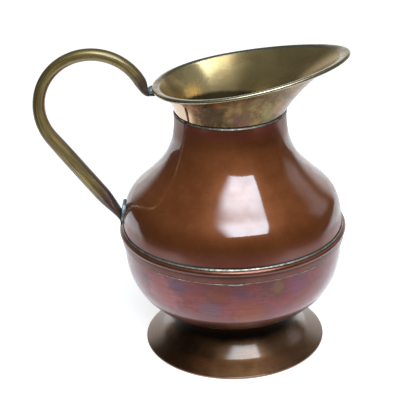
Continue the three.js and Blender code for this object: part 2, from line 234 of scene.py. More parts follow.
# %% [markdown]
# The foot is a low trumpet of copper under the bowl. The jug stands on its thick turned edge. The
# softbox's tall mirror image on it shows that its middle is nearly straight, so the curve is
# drawn in two parts that meet there with one direction.

# %% Flared foot
throat_radius = 0.042
foot_sheet = 0.0009
foot_top = bowl_height_at(throat_radius - foot_sheet) - gap
edge_radius = 0.0011
edge_turn = math.radians(60)
edge_width = 0.0025
edge_pull, middle_pull_down, middle_pull_up, throat_pull = 0.0031, 0.0033, 0.0015, 0.0109


def uphill(angle):
    return Vector((-math.cos(angle), math.sin(angle)))


edge = Vector((foot_radius - 0.0006, 0.0019))
edge_run = uphill(math.radians(32))
flare_middle = Vector((0.0532, 0.0090))
middle_run = uphill(math.radians(45.6))
flare = bezier(edge, edge + edge_run * edge_pull,
               flare_middle - middle_run * middle_pull_down, flare_middle, 36)
flare += bezier(flare_middle, flare_middle + middle_run * middle_pull_up,
                (throat_radius, foot_top - throat_pull), (throat_radius, foot_top), 40)[1:]
foot_inside = moved_sideways(flare, foot_sheet)
foot_inside[-1] = (foot_inside[-1][0], foot_top)
turned_edge = arc((foot_radius - edge_radius, edge_radius), edge_radius, -math.pi / 2, edge_turn, 12)
foot_section = turned_edge + flare[1:] + foot_inside[::-1] + [(foot_radius - edge_width, 0.0)]
foot = turned("flared_foot", foot_section)
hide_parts("foot")

# %% [markdown]
# A strip of copper hides the seam of the two halves. A round bead is swaged along its top edge,
# and below the bead the strip lies flat against the bowl. It could be a bulge in the wall of the
# body, but it is a strip of its own, so it has its own section, and its bead is hollow behind.

# %% Belly band with its bead
band_inside = belly_radius + gap
bead_radius = 0.0023
band_sheet = 0.001
bead_out, bead_up = 0.0002, 0.001
strip_height = 0.0053
strip_in_bead = 0.0005
strip_round = 0.0003
bead = Vector((band_inside + bead_out, seam_height + bead_up))
band_bottom = bead.y - bead_radius + strip_in_bead - strip_height
bead_start = -math.acos((band_sheet - bead_out) / bead_radius)
strip_corner = (band_inside + band_sheet - strip_round, band_bottom + strip_round)
band_section = [(band_inside, band_bottom)]
band_section += arc(strip_corner, strip_round, -math.pi / 2, 0, 4)
band_section += arc(bead, bead_radius, bead_start, math.pi / 2, 20)
band_section += [(band_inside, bead.y + bead_radius)]
band_section += arc((band_inside, bead.y), bead_radius - band_sheet, math.pi / 2, -math.pi / 2, 8)
band = turned("belly_band_with_bead", band_section)
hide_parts("belly_band")

# %% [markdown]
# The brass collar is the hard piece. Below it fits inside the round neck, and above it opens
# into an egg-shaped rim that is tilted and drawn out to the spout, so no two of its sections are
# alike. A Screw modifier can't turn it, and a sculpted sheet would hardly keep one thickness. So
# each meridian gets its own section, worked out by a formula: spigot, wall, lip and rolled rim,
# and back again on the inner side. The rim comes first, as a curve in space.

# %% Rim of the collar
rim_reach_front = 0.0838
rim_reach_back = 0.0543
rim_half_width, rim_narrowing = 0.0502, 0.0088
rim_above_neck = 0.027
rim_tilt = math.radians(8.5)
spout_sweep = 0.0025
roll_radius = 0.0014
tiny_step = 0.001


def rim_outline(angle):
    middle = (rim_reach_front - rim_reach_back) / 2
    half = (rim_reach_front + rim_reach_back) / 2
    width = rim_half_width - rim_narrowing * math.cos(angle)
    return Vector((middle + half * math.cos(angle), width * math.sin(angle), 0))


def rim_point(angle, out, up):
    run = (rim_outline(angle + tiny_step) - rim_outline(angle - tiny_step)).normalized()
    plan = rim_outline(angle) + Vector((run.y, -run.x, 0)) * out
    slope = math.tan(rim_tilt) * plan.x
    sweep = spout_sweep * (plan.x / rim_reach_front) ** 2
    return Vector((plan.x, plan.y, neck_height + rim_above_neck + slope + sweep + up))


rim_front, rim_back = rim_point(0, 0, 0), rim_point(math.pi, 0, 0)
print("rim %.4f m high at the spout, %.4f m at the handle" % (rim_front.z, rim_back.z))

# %% [markdown]
# From the neck to the lip the wall spreads slowly at first and faster above, like a funnel. Its
# two faces are the middle surface moved half a sheet to either side, along the surface normal,
# which is the cross product of the run round the collar and the run up the wall.

# %% Wall of the collar
collar_sheet = 0.0006
spigot_radius = neck_radius - sheet - gap - collar_sheet / 2
collar_above_neck = 0.0006
collar_start = neck_height + collar_above_neck
lip_at_sides, lip_extra_at_ends = 0.0028, 0.0018
even_spread = 0.55


def lip_width(angle):
    return lip_at_sides + lip_extra_at_ends * math.cos(angle) ** 2


def collar_middle(angle, share):
    top = rim_point(angle, -lip_width(angle), -collar_sheet / 2)
    spread = even_spread * share + (1 - even_spread) * share ** 2
    start = Vector((spigot_radius * math.cos(angle), spigot_radius * math.sin(angle), collar_start))
    return Vector((
        start.x + (top.x - start.x) * spread,
        start.y + (top.y - start.y) * spread,
        start.z + (top.z - start.z) * share,
    ))


def collar_side(angle, share, distance):
    round_run = collar_middle(angle + tiny_step, share) - collar_middle(angle - tiny_step, share)
    rise_run = collar_middle(angle, share + tiny_step) - collar_middle(angle, share - tiny_step)
    return collar_middle(angle, share) + round_run.cross(rise_run).normalized() * distance


print("lip %.4f m wide at the sides, %.4f m at the spout" % (lip_width(math.pi / 2), lip_width(0)))

# %% [markdown]
# The rim is rolled outwards over a wire, so that the thin sheet gets a stiff and smooth edge. In
# the section the roll is most of a circle, once round its inner and once round its outer face.

# %% Sections of the collar, and its skin
spigot_depth = 0.006
lip_round = 0.0006
wall_steps, roll_steps = 22, 18
roll_start, roll_turn = 90, 225
wall_low, wall_high = 0.04, 0.96


def spigot_point(angle, distance, height):
    radius = spigot_radius + distance
    return Vector((radius * math.cos(angle), radius * math.sin(angle), height))


def roll_point(angle, turn, radius):
    out = radius * math.cos(turn) - roll_radius
    up = radius * math.sin(turn) - roll_radius
    return rim_point(angle, out, up)


def collar_section(angle):
    half = collar_sheet / 2
    spigot_end = neck_height - spigot_depth
    lip_corner = lip_round - lip_width(angle)
    wall = [wall_low + (wall_high - wall_low) * i / wall_steps for i in range(wall_steps + 1)]
    turns = [math.radians(roll_start - roll_turn * i / roll_steps) for i in range(roll_steps + 1)]
    section = [spigot_point(angle, half, spigot_end), spigot_point(angle, half, collar_start)]
    section += [collar_side(angle, share, half) for share in wall]
    section += [rim_point(angle, lip_corner, -collar_sheet)]
    section += [roll_point(angle, turn, roll_radius - collar_sheet) for turn in turns]
    section += [roll_point(angle, turn, roll_radius) for turn in reversed(turns)]
    section += [rim_point(angle, lip_corner, 0)]
    section += [collar_side(angle, share, -half) for share in reversed(wall)]
    section += [spigot_point(angle, -half, collar_start), spigot_point(angle, -half, spigot_end)]
    return [p + Vector((axis_x, 0, 0)) for p in section]


meridians = [collar_section(2 * math.pi * k / turn_steps) for k in range(turn_steps)]
collar = skin("spout_collar_sheet", [list(ring) for ring in zip(*meridians)])
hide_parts("spout_collar")

# %% [markdown]
# The handle is one brass tube: a short flat tab under the rim, a tight bend, most of a circle,
# a straight leg, and a second flat tab against the belly. Its middle line is made of these
# stretches, one after the other, in the upright plane through the spout. The sizes come first,
# and the shapes of the stretches.

# %% Sizes and stretches of the handle
pinch_gap = 0.0003
handle_wall = 0.0008
tab_half = handle_wall + pinch_gap / 2
loop_radius = 0.0384
loop_behind_rim, loop_above_neck = 0.042, 0.005
loop_centre = Vector((-rim_reach_back - loop_behind_rim, neck_height + loop_above_neck))
loop_start, loop_end = math.radians(20), math.radians(217)
upper_tube, lower_tube = 0.0044, 0.0056


def loop_point(angle):
    return loop_centre + Vector((math.cos(angle), math.sin(angle))) * loop_radius


def loop_run(angle):
    return Vector((-math.sin(angle), math.cos(angle)))


def straight(start, end, count):
    return [start.lerp(end, i / count) for i in range(count + 1)]


def bend(start, corner, end, count):
    return [start.lerp(corner, i / count).lerp(corner.lerp(end, i / count), i / count)
            for i in range(count + 1)]


print("loop of the handle: %.0f degrees of a circle" % math.degrees(loop_end - loop_start))

# %% [markdown]
# The upper tab ends at the collar's wall just under the rim, and the lower one lies against the
# belly just above the bead, so both are worked out from those pieces. The corner of a bend is
# where the lines on its two sides would meet.

# %% Middle line of the handle
tab_under_rim = 0.0027
bend_reach = 0.0026
solder_room = 0.0011
loop_steps = 90
rim_under = rim_point(math.pi, -roll_radius, -2 * roll_radius)
tab_height = rim_under.z - tab_under_rim - tab_half
wall_top = collar_middle(math.pi, 1).z
tab_share = (tab_height + tab_half - collar_start) / (wall_top - collar_start)
tab_tip = Vector((collar_side(math.pi, tab_share, collar_sheet / 2 + gap).x, tab_height))
first = loop_point(loop_start)
upper_corner = first - loop_run(loop_start) * ((first.y - tab_height) / loop_run(loop_start).y)
upper_bend = upper_corner + Vector((bend_reach, 0))
last = loop_point(loop_end)
tab_x = -(belly_radius + gap + tab_half)
lower_corner = last + loop_run(loop_end) * ((tab_x - last.x) / loop_run(loop_end).x)
leg_end = lower_corner - loop_run(loop_end) * lower_tube
fillet_top = bead.y + bead_radius + gap + solder_room
tab_end = Vector((tab_x, fillet_top + gap))
tab_start = Vector((tab_x, (lower_corner.y + tab_end.y) / 2))
route = straight(tab_tip, upper_bend, 8)
route += bend(upper_bend, upper_corner, first, 12)[1:]
loop_turn = (loop_end - loop_start) / loop_steps
route += [loop_point(loop_start + loop_turn * i) for i in range(1, loop_steps + 1)]
route += straight(last, leg_end, 40)[1:]
route += bend(leg_end, lower_corner, tab_start, 14)[1:]
route += straight(tab_start, tab_end, 3)[1:]
print("points of the handle's middle line:", len(route))

# %% [markdown]
# A pinched tube opens from flat to round over a short way, fast at first and then slowly. The
# tube is also thicker down the leg than in the loop, and it swells gently from one to the other.
# Both depend on how far along the tube a ring is, so the lengths are summed up first.

# %% Lengths along the tube, and how it opens and swells
pinch_power = 1.5


def opened(distance, pinch):
    return 1 - (1 - min(max(distance, 0) / pinch, 1)) ** pinch_power


def smooth(value, low, high):
    t = min(max((value - low) / (high - low), 0), 1)
    return t * t * (3 - 2 * t)


lengths = [0.0]
for a, b in zip(route, route[1:]):
    lengths.append(lengths[-1] + (b - a).length)
handle_length = lengths[-1]
print("middle line of the handle %.3f m long" % handle_length)

# %% [markdown]
# Where the tube is pinched flat it keeps its girth, so it spreads sideways there, and only the
# upper tab was filed narrower. A curve with a round bevel could draw the tube, but not its flat
# ends, so it is a skin over rings. The rings of the tube and of its bore follow the middle line,
# and each one stands square to it.

# %% Tube of the handle
upper_tab = tab_tip.x - upper_bend.x
upper_pinch, lower_pinch, lower_flat = 0.012, 0.025, 0.0017
swell_start, swell_end = 0.5, 0.73
tab_narrowing = 0.3
skin_inset = 0.00001
tube_sides = 40


def handle_ring(i, grow):
    at = route[i]
    run = (route[min(i + 1, len(route) - 1)] - route[max(i - 1, 0)]).normalized()
    side = Vector((run.y, -run.x))
    distance = lengths[i]
    swell = smooth(distance / handle_length, swell_start, swell_end)
    tube = upper_tube + (lower_tube - upper_tube) * swell
    upper = opened(distance - upper_tab, upper_pinch)
    lower = opened(handle_length - distance - lower_flat, lower_pinch)
    half = tab_half + (tube - tab_half) * min(upper, lower)
    wide = math.sqrt(2 * tube ** 2 - half ** 2) * (1 - tab_narrowing * (1 - upper))
    ring = []
    for k in range(tube_sides):
        angle = 2 * math.pi * k / tube_sides
        across = (half + grow) * math.cos(angle)
        y = (wide + grow) * math.sin(angle)
        ring.append((axis_x + at.x + side.x * across, y, at.y + side.y * across))
    return ring


outer = [handle_ring(i, -skin_inset) for i in range(len(route))]
bore = [handle_ring(i, -handle_wall) for i in reversed(range(len(route)))]
handle = skin("bent_tube_handle", outer + bore)
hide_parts("handle")

# %% [markdown]
# Drawing a tube through a plate leaves fine lines along it. To let the brass follow the tube
# round its bends, every point of the mesh keeps its place on the tube: two numbers say where it
# is round the tube, and the third how far along it is.

# %% Place on the tube, kept in the mesh
on_tube = handle.data.attributes.new("on_tube", "FLOAT_VECTOR", "POINT")
for index, value in enumerate(on_tube.data):
    ring_number, corner_number = divmod(index, tube_sides)
    ring_number = min(ring_number, 2 * len(route) - 1 - ring_number)
    angle = 2 * math.pi * corner_number / tube_sides
    value.vector = (math.cos(angle), math.sin(angle), lengths[ring_number])
print("points with a place on the tube:", len(on_tube.data))

# %% [markdown]
# Soft solder fills each corner where two pieces meet. It was wiped on by hand, so the fillet
# swells and thins round the jug, and it sagged in one place under the front of the band. A ring
# of solder is a small triangle with a hollow face, and noise round the turn changes its size.
# A bevelled circle would be quicker to make, but it would look like a cord laid into the corner.

# %% Helper: a ring of solder
solder_steps = 360
coarse_waves, fine_waves, fine_share = 4, 13, 0.6
hollowness = 0.18


def solder_ring(name, corner, along_wall, along_ledge, unevenness, seed, sag=None):
    rings = []
    for k in range(solder_steps):
        angle = 2 * math.pi * k / solder_steps
        around = Vector((math.cos(angle), math.sin(angle), seed))
        waves = noise.noise(around * coarse_waves) + fine_share * noise.noise(around * fine_waves)
        size = 1 + unevenness * (waves - inward_lean)
        if sag:
            size += sag(angle)
        start = Vector(corner)
        up = start + Vector(along_wall) * size
        out = start + Vector(along_ledge) * size
        middle = (up + out) / 2
        hollow = middle.lerp(start, hollowness)
        line = [start, up, up.lerp(hollow, 0.5), hollow, out.lerp(hollow, 0.5), out]
        rings.append([(axis_x + p.x * math.cos(angle), p.x * math.sin(angle), p.y) for p in line])
    return skin(name, rings, crease=60)


# %% [markdown]
# The neck and the foot each have one such ring, and the band has one above its bead and one under
# its strip. Each is given by its corner and by how far the solder crept along the two pieces.

# %% Solder at the neck and above the bead
neck_wall = spigot_radius + collar_sheet / 2 + gap
neck_ledge = neck_radius + gap - neck_wall
neck_join = solder_ring("solder_at_neck", (neck_wall, neck_height + gap),
                        along_wall=(0.0006, 0.0013), along_ledge=(neck_ledge, 0),
                        unevenness=0.25, seed=2.1)
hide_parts("neck_solder")
bead_top = bead.y + bead_radius
upper_join = solder_ring("solder_above_bead", (band_inside, bead_top + gap),
                         along_wall=(0, 0.0008), along_ledge=(0.0008, -0.0001),
                         unevenness=0.35, seed=5.3)
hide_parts("belly_solder_upper")

# %% [markdown]
# Under the front of the band the solder sagged while it was liquid. A bell curve round the turn
# makes the ring bigger in that one place.

# %% Solder under the band and above the foot
sag_angle, sag_width, sag_growth = 2, 5, 0.9


def front_sag(angle):
    to_front = math.degrees(angle) + 90 if angle < math.pi else math.degrees(angle) - 270
    return sag_growth * math.exp(-((to_front - sag_angle) / sag_width) ** 2)


lower_join = solder_ring("solder_under_band", (band_inside, band_bottom - gap),
                         along_wall=(0, -0.0010), along_ledge=(0.0009, 0),
                         unevenness=0.35, seed=7.7, sag=front_sag)
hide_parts("belly_solder_lower")
foot_wall = throat_radius + gap
foot_join = solder_ring("solder_above_foot", (foot_wall, bowl_height_at(foot_wall) - gap),
                        along_wall=(0, -0.0013), along_ledge=(0.0013, 0.0003),
                        unevenness=0.3, seed=9.4)
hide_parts("foot_solder")

# %% [markdown]
# Everything on the jug rides on its one body. Each new piece is also listed under the slot of the
# record that its finish stands for.

# %% Pieces and their slots
slots = {
    "patinated_copper": [foot, body],
    "tarnished_copper": [bowl, band],
    "aged_brass": [collar, handle],
    "soft_solder": [neck_join, upper_join, lower_join, foot_join],
}
for slot_name, things in slots.items():
    for thing in things:
        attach(thing, "root")
print("pieces:", [thing.name for things in slots.values() for thing in things])

# %% [markdown]
# Every finish is made of nodes. One helper puts a node in a tree, sets it and wires its inputs,
# and more stand for the nodes that are used most: a sum or product, the place of a point on the
# object and its three parts, a mix of two colours, and a soft step between two limits. A tree
# could be wired by hand in the Shader Editor, but written out it can be read, changed and
# repeated. A picture wrapped round the jug would be simpler still, but it would have seams and
# grow coarse near by, and noise in space does neither.

# %% Helpers: nodes
def put(tree, kind, inputs=None, **settings):
    made = tree.nodes.new("ShaderNode" + kind)
    for name, value in settings.items():
        setattr(made, name, value)
    for socket, value in (inputs or {}).items():
        if isinstance(value, bpy.types.NodeSocket):
            tree.links.new(value, made.inputs[socket])
        else:
            made.inputs[socket].default_value = value
    return made


def math_node(tree, operation, first, second=0.0):
    return put(tree, "Math", {0: first, 1: second}, operation=operation).outputs[0]


def place_in(tree):
    return put(tree, "TexCoord").outputs["Object"]


def parts_of(tree, vector):
    return put(tree, "SeparateXYZ", {0: vector}).outputs


def opaque(colour):
    return (*colour, 1) if isinstance(colour, tuple) else colour


def mix_colour(tree, share, first, second):
    inputs = {0: share, 6: opaque(first), 7: opaque(second)}
    return put(tree, "Mix", inputs, data_type="RGBA").outputs[2]


def between(tree, value, low, high, to_low=0.0, to_high=1.0):
    made = put(tree, "MapRange", {"Value": value, "From Min": low, "From Max": high,
                                  "To Min": to_low, "To Max": to_high},
               interpolation_type="SMOOTHSTEP")
    return made.outputs[0]


# %% [markdown]
# A node group with named inputs and outputs is built once and placed in each material with its
# own values, as one would lend out a stencil.

# %% Helpers: node groups
def start_group(name, inputs, outputs):
    tree = bpy.data.node_groups.new(name, "ShaderNodeTree")
    for label, value in inputs.items():
        socket = tree.interface.new_socket(label, in_out="INPUT", socket_type="NodeSocketFloat")
        socket.default_value = value
    for label in outputs:
        tree.interface.new_socket(label, in_out="OUTPUT", socket_type="NodeSocketFloat")
    enter = tree.nodes.new("NodeGroupInput")
    leave = tree.nodes.new("NodeGroupOutput")
    print("group", name, "from", ", ".join(inputs), "to", ", ".join(outputs))
    return tree, enter.outputs, leave.inputs


def use_group(tree, group, **values):
    inputs = {label.capitalize(): value for label, value in values.items()}
    return put(tree, "Group", inputs, node_tree=group).outputs


# %% [markdown]
# Clouds are the soft patches of colour that heat, lacquer and years leave on metal. Noise gives
# them, and two limits cut it to a mask: far apart they give a haze, close together they give
# patches with an edge. A stretch above one makes the patches wider than they are high. The
# fourth dimension of the noise is a seed, so that no two uses agree.

# %% Group: clouds
clouds, enter, leave = start_group(
    "clouds", {"Size": 0.02, "Seed": 0.0, "Low": 0.4, "High": 0.6, "Stretch": 1.0}, ["Mask"])
place = place_in(clouds)
parts = parts_of(clouds, place)
tall = math_node(clouds, "MULTIPLY", parts[2], enter["Stretch"])
stretched = put(clouds, "CombineXYZ", {0: parts[0], 1: parts[1], 2: tall}).outputs[0]
scale = math_node(clouds, "DIVIDE", 1.0, enter["Size"])
field = put(clouds, "TexNoise", {"Vector": stretched, "W": enter["Seed"], "Scale": scale,
                                 "Detail": 4.0, "Roughness": 0.55, "Distortion": 0.5},
            noise_dimensions="4D").outputs[0]
clouds.links.new(between(clouds, field, enter["Low"], enter["High"]), leave["Mask"])

# %% [markdown]
# Spun or turned metal carries fine rings from the tool and from polishing on the lathe. A ring
# keeps its radius and its height, so the noise runs fast with those two and slowly round the
# jug: the first as its fourth dimension, the second along z.

# %% Group: turned grain
grain, enter, leave = start_group("turned grain", {"Spacing": 0.0006, "Streak": 0.03}, ["Height"])
place = place_in(grain)
parts = parts_of(grain, place)
from_axis = math_node(grain, "SUBTRACT", parts[0], axis_x)
flat = put(grain, "CombineXYZ", {0: from_axis, 1: parts[1], 2: 0.0}).outputs[0]
radius = put(grain, "VectorMath", {0: flat}, operation="LENGTH").outputs["Value"]
ring_share = math_node(grain, "DIVIDE", radius, enter["Spacing"])
height_share = math_node(grain, "DIVIDE", parts[2], enter["Spacing"])
slow_x = math_node(grain, "DIVIDE", from_axis, enter["Streak"])
slow_y = math_node(grain, "DIVIDE", parts[1], enter["Streak"])
along = put(grain, "CombineXYZ", {0: slow_x, 1: slow_y, 2: height_share}).outputs[0]
field = put(grain, "TexNoise", {"Vector": along, "W": ring_share, "Scale": 1.0, "Detail": 2.0,
                                "Roughness": 0.6}, noise_dimensions="4D").outputs[0]
grain.links.new(field, leave["Height"])

# %% [markdown]
# Hairlines are the long curved scratches of wiping and washing up. A contour line of smooth
# noise is just such a line: it shows where the noise is near one half, and clouds break it up.

# %% Group: hairlines
hairlines, enter, leave = start_group(
    "hairlines", {"Size": 0.02, "Width": 0.01, "Seed": 0.0}, ["Mask"])
place = place_in(hairlines)
scale = math_node(hairlines, "DIVIDE", 1.0, enter["Size"])
field = put(hairlines, "TexNoise", {"Vector": place, "W": enter["Seed"], "Scale": scale,
                                    "Detail": 1.0, "Distortion": 1.5},
            noise_dimensions="4D").outputs[0]
off_line = math_node(hairlines, "ABSOLUTE", math_node(hairlines, "SUBTRACT", field, 0.5))
line = between(hairlines, off_line, 0.0, enter["Width"], 1.0, 0.0)
broken = use_group(hairlines, clouds, size=0.012, seed=3.7, low=0.48, high=0.62)["Mask"]
hairlines.links.new(math_node(hairlines, "MULTIPLY", line, broken), leave["Mask"])

# %% [markdown]
# Specks are pits and grains of dirt. Voronoi cells give scattered points, and each cell has a
# random value: only the cells where it is below the share carry a speck.

# %% Group: specks
specks, enter, leave = start_group(
    "specks", {"Spacing": 0.003, "Size": 0.2, "Share": 0.3, "Seed": 0.0}, ["Mask"])
place = place_in(specks)
scale = math_node(specks, "DIVIDE", 1.0, enter["Spacing"])
cells = put(specks, "TexVoronoi", {"Vector": place, "W": enter["Seed"], "Scale": scale},
            voronoi_dimensions="4D").outputs
dot = between(specks, cells["Distance"], 0.0, enter["Size"], 1.0, 0.0)
chance = put(specks, "SeparateColor", {0: cells["Color"]}).outputs[0]
has_dot = math_node(specks, "LESS_THAN", chance, enter["Share"])
specks.links.new(math_node(specks, "MULTIPLY", dot, has_dot), leave["Mask"])

# %% [markdown]
# A zone is a belt of the jug between two heights, with a soft and slightly ragged border. It
# puts a finish where the work left it: heat colour under the neck, wear on the foot's edge.

# %% Group: zone of height
zone, enter, leave = start_group(
    "zone of height", {"Bottom": 0.0, "Top": 0.01, "Softness": 0.002, "Ragged": 0.0}, ["Mask"])
place = place_in(zone)
height = parts_of(zone, place)[2]
field = put(zone, "TexNoise", {"Vector": place, "Scale": 180.0, "Detail": 2.0}).outputs[0]
swing = math_node(zone, "MULTIPLY", math_node(zone, "SUBTRACT", field, 0.5), enter["Ragged"])
level = math_node(zone, "ADD", height, swing)
low_end = math_node(zone, "SUBTRACT", level, enter["Bottom"])
high_end = math_node(zone, "SUBTRACT", enter["Top"], level)
inside = math_node(zone, "MINIMUM", low_end, high_end)
half_soft = math_node(zone, "MULTIPLY", enter["Softness"], 0.5)
minus_half = math_node(zone, "MULTIPLY", enter["Softness"], -0.5)
zone.links.new(between(zone, inside, minus_half, half_soft), leave["Mask"])

# %% [markdown]
# A spot is a round stain at one place of the jug, given by its middle and its radius. Noise bends
# its border, as a stain follows the wiping hand and the crystals of the metal.

# %% Group: spot
spot, enter, leave = start_group(
    "spot", {"X": 0.0, "Y": 0.0, "Z": 0.0, "Radius": 0.01, "Softness": 0.3, "Ragged": 0.5}, ["Mask"])
place = place_in(spot)
middle = put(spot, "CombineXYZ", {0: enter["X"], 1: enter["Y"], 2: enter["Z"]}).outputs[0]
far = put(spot, "VectorMath", {0: place, 1: middle}, operation="DISTANCE").outputs["Value"]
share = math_node(spot, "DIVIDE", far, enter["Radius"])
field = put(spot, "TexNoise", {"Vector": place, "Scale": 260.0, "Detail": 4.0}).outputs[0]
swing = math_node(spot, "MULTIPLY", math_node(spot, "SUBTRACT", field, 0.5), enter["Ragged"])
share = math_node(spot, "ADD", share, math_node(spot, "MULTIPLY", swing, 2.0))
inner = math_node(spot, "SUBTRACT", 1.0, enter["Softness"])
outer_end = math_node(spot, "ADD", 1.0, enter["Softness"])
spot.links.new(between(spot, share, inner, outer_end, 1.0, 0.0), leave["Mask"])

# %% [markdown]
# A material starts as one Principled shader. What is the same all over the surface is set on its
# own sockets. Old polished copper is modelled in two layers: a brown, half rough oxide below, and
# above it a clear coat that mirrors the room. The oxide of copper bends light strongly, which is
# why the coat's index of refraction can be higher than that of lacquer. Turned metal also spreads
# its gleam across the tool marks: the tangent runs round the axis like the marks, and a quarter
# turn of it is the way the gleam goes. The matt part under the coat hardly mirrors anything itself.

# %% Helper: a new metal
quarter_turn = 0.25
matt_mirror = 0.1


def new_metal(name, metallic, coat=0.0, coat_index=2.0, coat_roughness=0.06, turned_sheen=0.0):
    material = bpy.data.materials.new(name)
    material.use_nodes = True
    tree = material.node_tree
    shader = tree.nodes["Principled BSDF"]
    if turned_sheen:
        shader.inputs["Anisotropic"].default_value = turned_sheen
        shader.inputs["Anisotropic Rotation"].default_value = quarter_turn
        normal = put(tree, "NewGeometry").outputs["Normal"]
        level = put(tree, "VectorMath", {0: normal, 1: (0, 0, 1)}, operation="CROSS_PRODUCT")
        tree.links.new(level.outputs[0], shader.inputs["Tangent"])
    shader.inputs["Metallic"].default_value = metallic
    shader.inputs["Specular IOR Level"].default_value = matt_mirror
    shader.inputs["Coat Weight"].default_value = coat
    shader.inputs["Coat IOR"].default_value = coat_index
    shader.inputs["Coat Roughness"].default_value = coat_roughness
    return material, tree, shader


# %% [markdown]
# A finish is built up as it grew: a ground colour, then one stain after another, each with its
# mask, its share and its tint. Places of round stains are given in millimetres, as one would
# measure them on the jug. The last helper wires the result into the shader, with a bump: a few
# thousandths of a millimetre for turning rings, and up to a tenth for the lumps of the solder.

# %% Helpers: stains and wiring
metre_in_millimetres = 1000


def stain(tree, colour, mask, share, tint):
    return mix_colour(tree, math_node(tree, "MULTIPLY", mask, share), colour, tint)


def dimmed(tree, colour, factor):
    return put(tree, "VectorMath", {0: colour, "Scale": factor}, operation="SCALE").outputs[0]


def spot_at(tree, point, radius, softness=0.3, ragged=0.5):
    x, y, z = (c / metre_in_millimetres for c in point)
    return use_group(tree, spot, x=x, y=y, z=z, radius=radius / metre_in_millimetres,
                     softness=softness, ragged=ragged)["Mask"]


def wire(tree, shader, colour, roughness, height, depth, coat=None):
    bump = put(tree, "Bump", {"Height": height, "Distance": depth, "Strength": 1.0})
    tree.links.new(colour, shader.inputs["Base Color"])
    tree.links.new(roughness, shader.inputs["Roughness"])
    tree.links.new(bump.outputs[0], shader.inputs["Normal"])
    if coat:
        tree.links.new(coat, shader.inputs["Coat Weight"])


# %% [markdown]
# The upper half has the even brown of copper that was bronzed and then waxed for years. It is mostly
# a matt brown with a clear gleam over it, and it grows darker towards the belly. The heat of the
# soldering iron left it redder under the collar, and a thin dark line of painted shade lies in the
# corner above the bead.

# %% Brown copper of the body: colours
copper, tree, shader = new_metal("brown patinated copper", metallic=0.35, coat=1.0,
                                 coat_index=1.95, coat_roughness=0.08)
haze = use_group(tree, clouds, size=0.035, seed=1.0, low=0.35, high=0.68)["Mask"]
patches = use_group(tree, clouds, size=0.009, seed=4.0, low=0.42, high=0.66)["Mask"]
rings = use_group(tree, grain, spacing=0.0007, streak=0.03)["Height"]
scratch = use_group(tree, hairlines, size=0.022, width=0.012, seed=2.0)["Mask"]
pits = use_group(tree, specks, spacing=0.0035, size=0.16, share=0.25, seed=1.0)["Mask"]
colour = mix_colour(tree, haze, (0.215, 0.058, 0.016), (0.265, 0.075, 0.022))
colour = stain(tree, colour, patches, 0.35, (0.31, 0.09, 0.028))
colour = dimmed(tree, colour, between(tree, rings, 0.3, 0.7, 0.96, 1.04))
heat = use_group(tree, zone, bottom=0.1725, top=0.19, softness=0.008, ragged=0.003)["Mask"]
colour = stain(tree, colour, heat, 0.7, (0.22, 0.050, 0.032))
low = use_group(tree, zone, bottom=0.08, top=0.118, softness=0.024, ragged=0.006)["Mask"]
colour = stain(tree, colour, low, 0.5, (0.13, 0.028, 0.005))
belly = use_group(tree, zone, bottom=0.08, top=0.105, softness=0.008, ragged=0.004)["Mask"]
colour = stain(tree, colour, belly, 0.6, (0.30, 0.095, 0.060))
# painted shade: a thin dark line in the corner above the bead
corner_shade_above_bead = use_group(tree, zone, bottom=0.094, top=0.0965, softness=0.001, ragged=0.0006)["Mask"]
colour = stain(tree, colour, corner_shade_above_bead, 0.85, (0.02, 0.009, 0.006))
colour = stain(tree, colour, scratch, 0.2, (0.30, 0.12, 0.06))
colour = stain(tree, colour, pits, 0.5, (0.03, 0.012, 0.008))

# %% [markdown]
# The wax over the brown is smeared, and that breaks up the softbox's mirror image. Under the
# collar and just above the bead rubbing bared more of the metal. A coat mirrors white things
# white, and bare copper mirrors them red, so there the coat is thinner and the rest is metal.

# %% Brown copper of the body: gleam
roughness = between(tree, haze, 0.0, 1.0, 0.42, 0.54)
roughness = math_node(tree, "ADD", roughness, math_node(tree, "MULTIPLY", scratch, 0.1))
smears = use_group(tree, clouds, size=0.010, seed=8.0, low=0.3, high=0.8)["Mask"]
coat = between(tree, smears, 0.0, 1.0, 1.0, 0.78)
reddened = use_group(tree, zone, bottom=0.165, top=0.19, softness=0.012, ragged=0.002)["Mask"]
bare = math_node(tree, "MAXIMUM", reddened, belly)
coat = math_node(tree, "MULTIPLY", coat, between(tree, bare, 0.0, 1.0, 1.0, 0.4))
tree.links.new(between(tree, bare, 0.0, 1.0, 0.35, 0.72), shader.inputs["Metallic"])
wire(tree, shader, colour, roughness, height=rings, depth=0.000003, coat=coat)
print(copper.name, "has", len(tree.nodes), "nodes")

# %% [markdown]
# The foot is the same copper gone olive brown, with fine turning rings. A painted light lies on its
# right side and painted shade on its left. Its edge stands on tables and is rubbed to bare copper,
# and the throat under the bowl is painted almost black, as shade, and without any gleam.

# %% Olive brown copper of the foot
foot_copper, tree, shader = new_metal("olive brown copper", metallic=0.85, coat=0.75, coat_index=1.7,
                                      coat_roughness=0.12, turned_sheen=0.55)
haze = use_group(tree, clouds, size=0.02, seed=11.0, low=0.35, high=0.65)["Mask"]
rings = use_group(tree, grain, spacing=0.0006, streak=0.02)["Height"]
scratch = use_group(tree, hairlines, size=0.015, width=0.012, seed=5.0)["Mask"]
colour = mix_colour(tree, haze, (0.145, 0.069, 0.027), (0.205, 0.101, 0.041))
# painted light: a lighter, warmer patch on the right side of the foot
painted_light_right = spot_at(tree, (62, -42, 8), radius=22, softness=0.6, ragged=0.4)
colour = stain(tree, colour, painted_light_right, 0.75, (0.32, 0.165, 0.08))
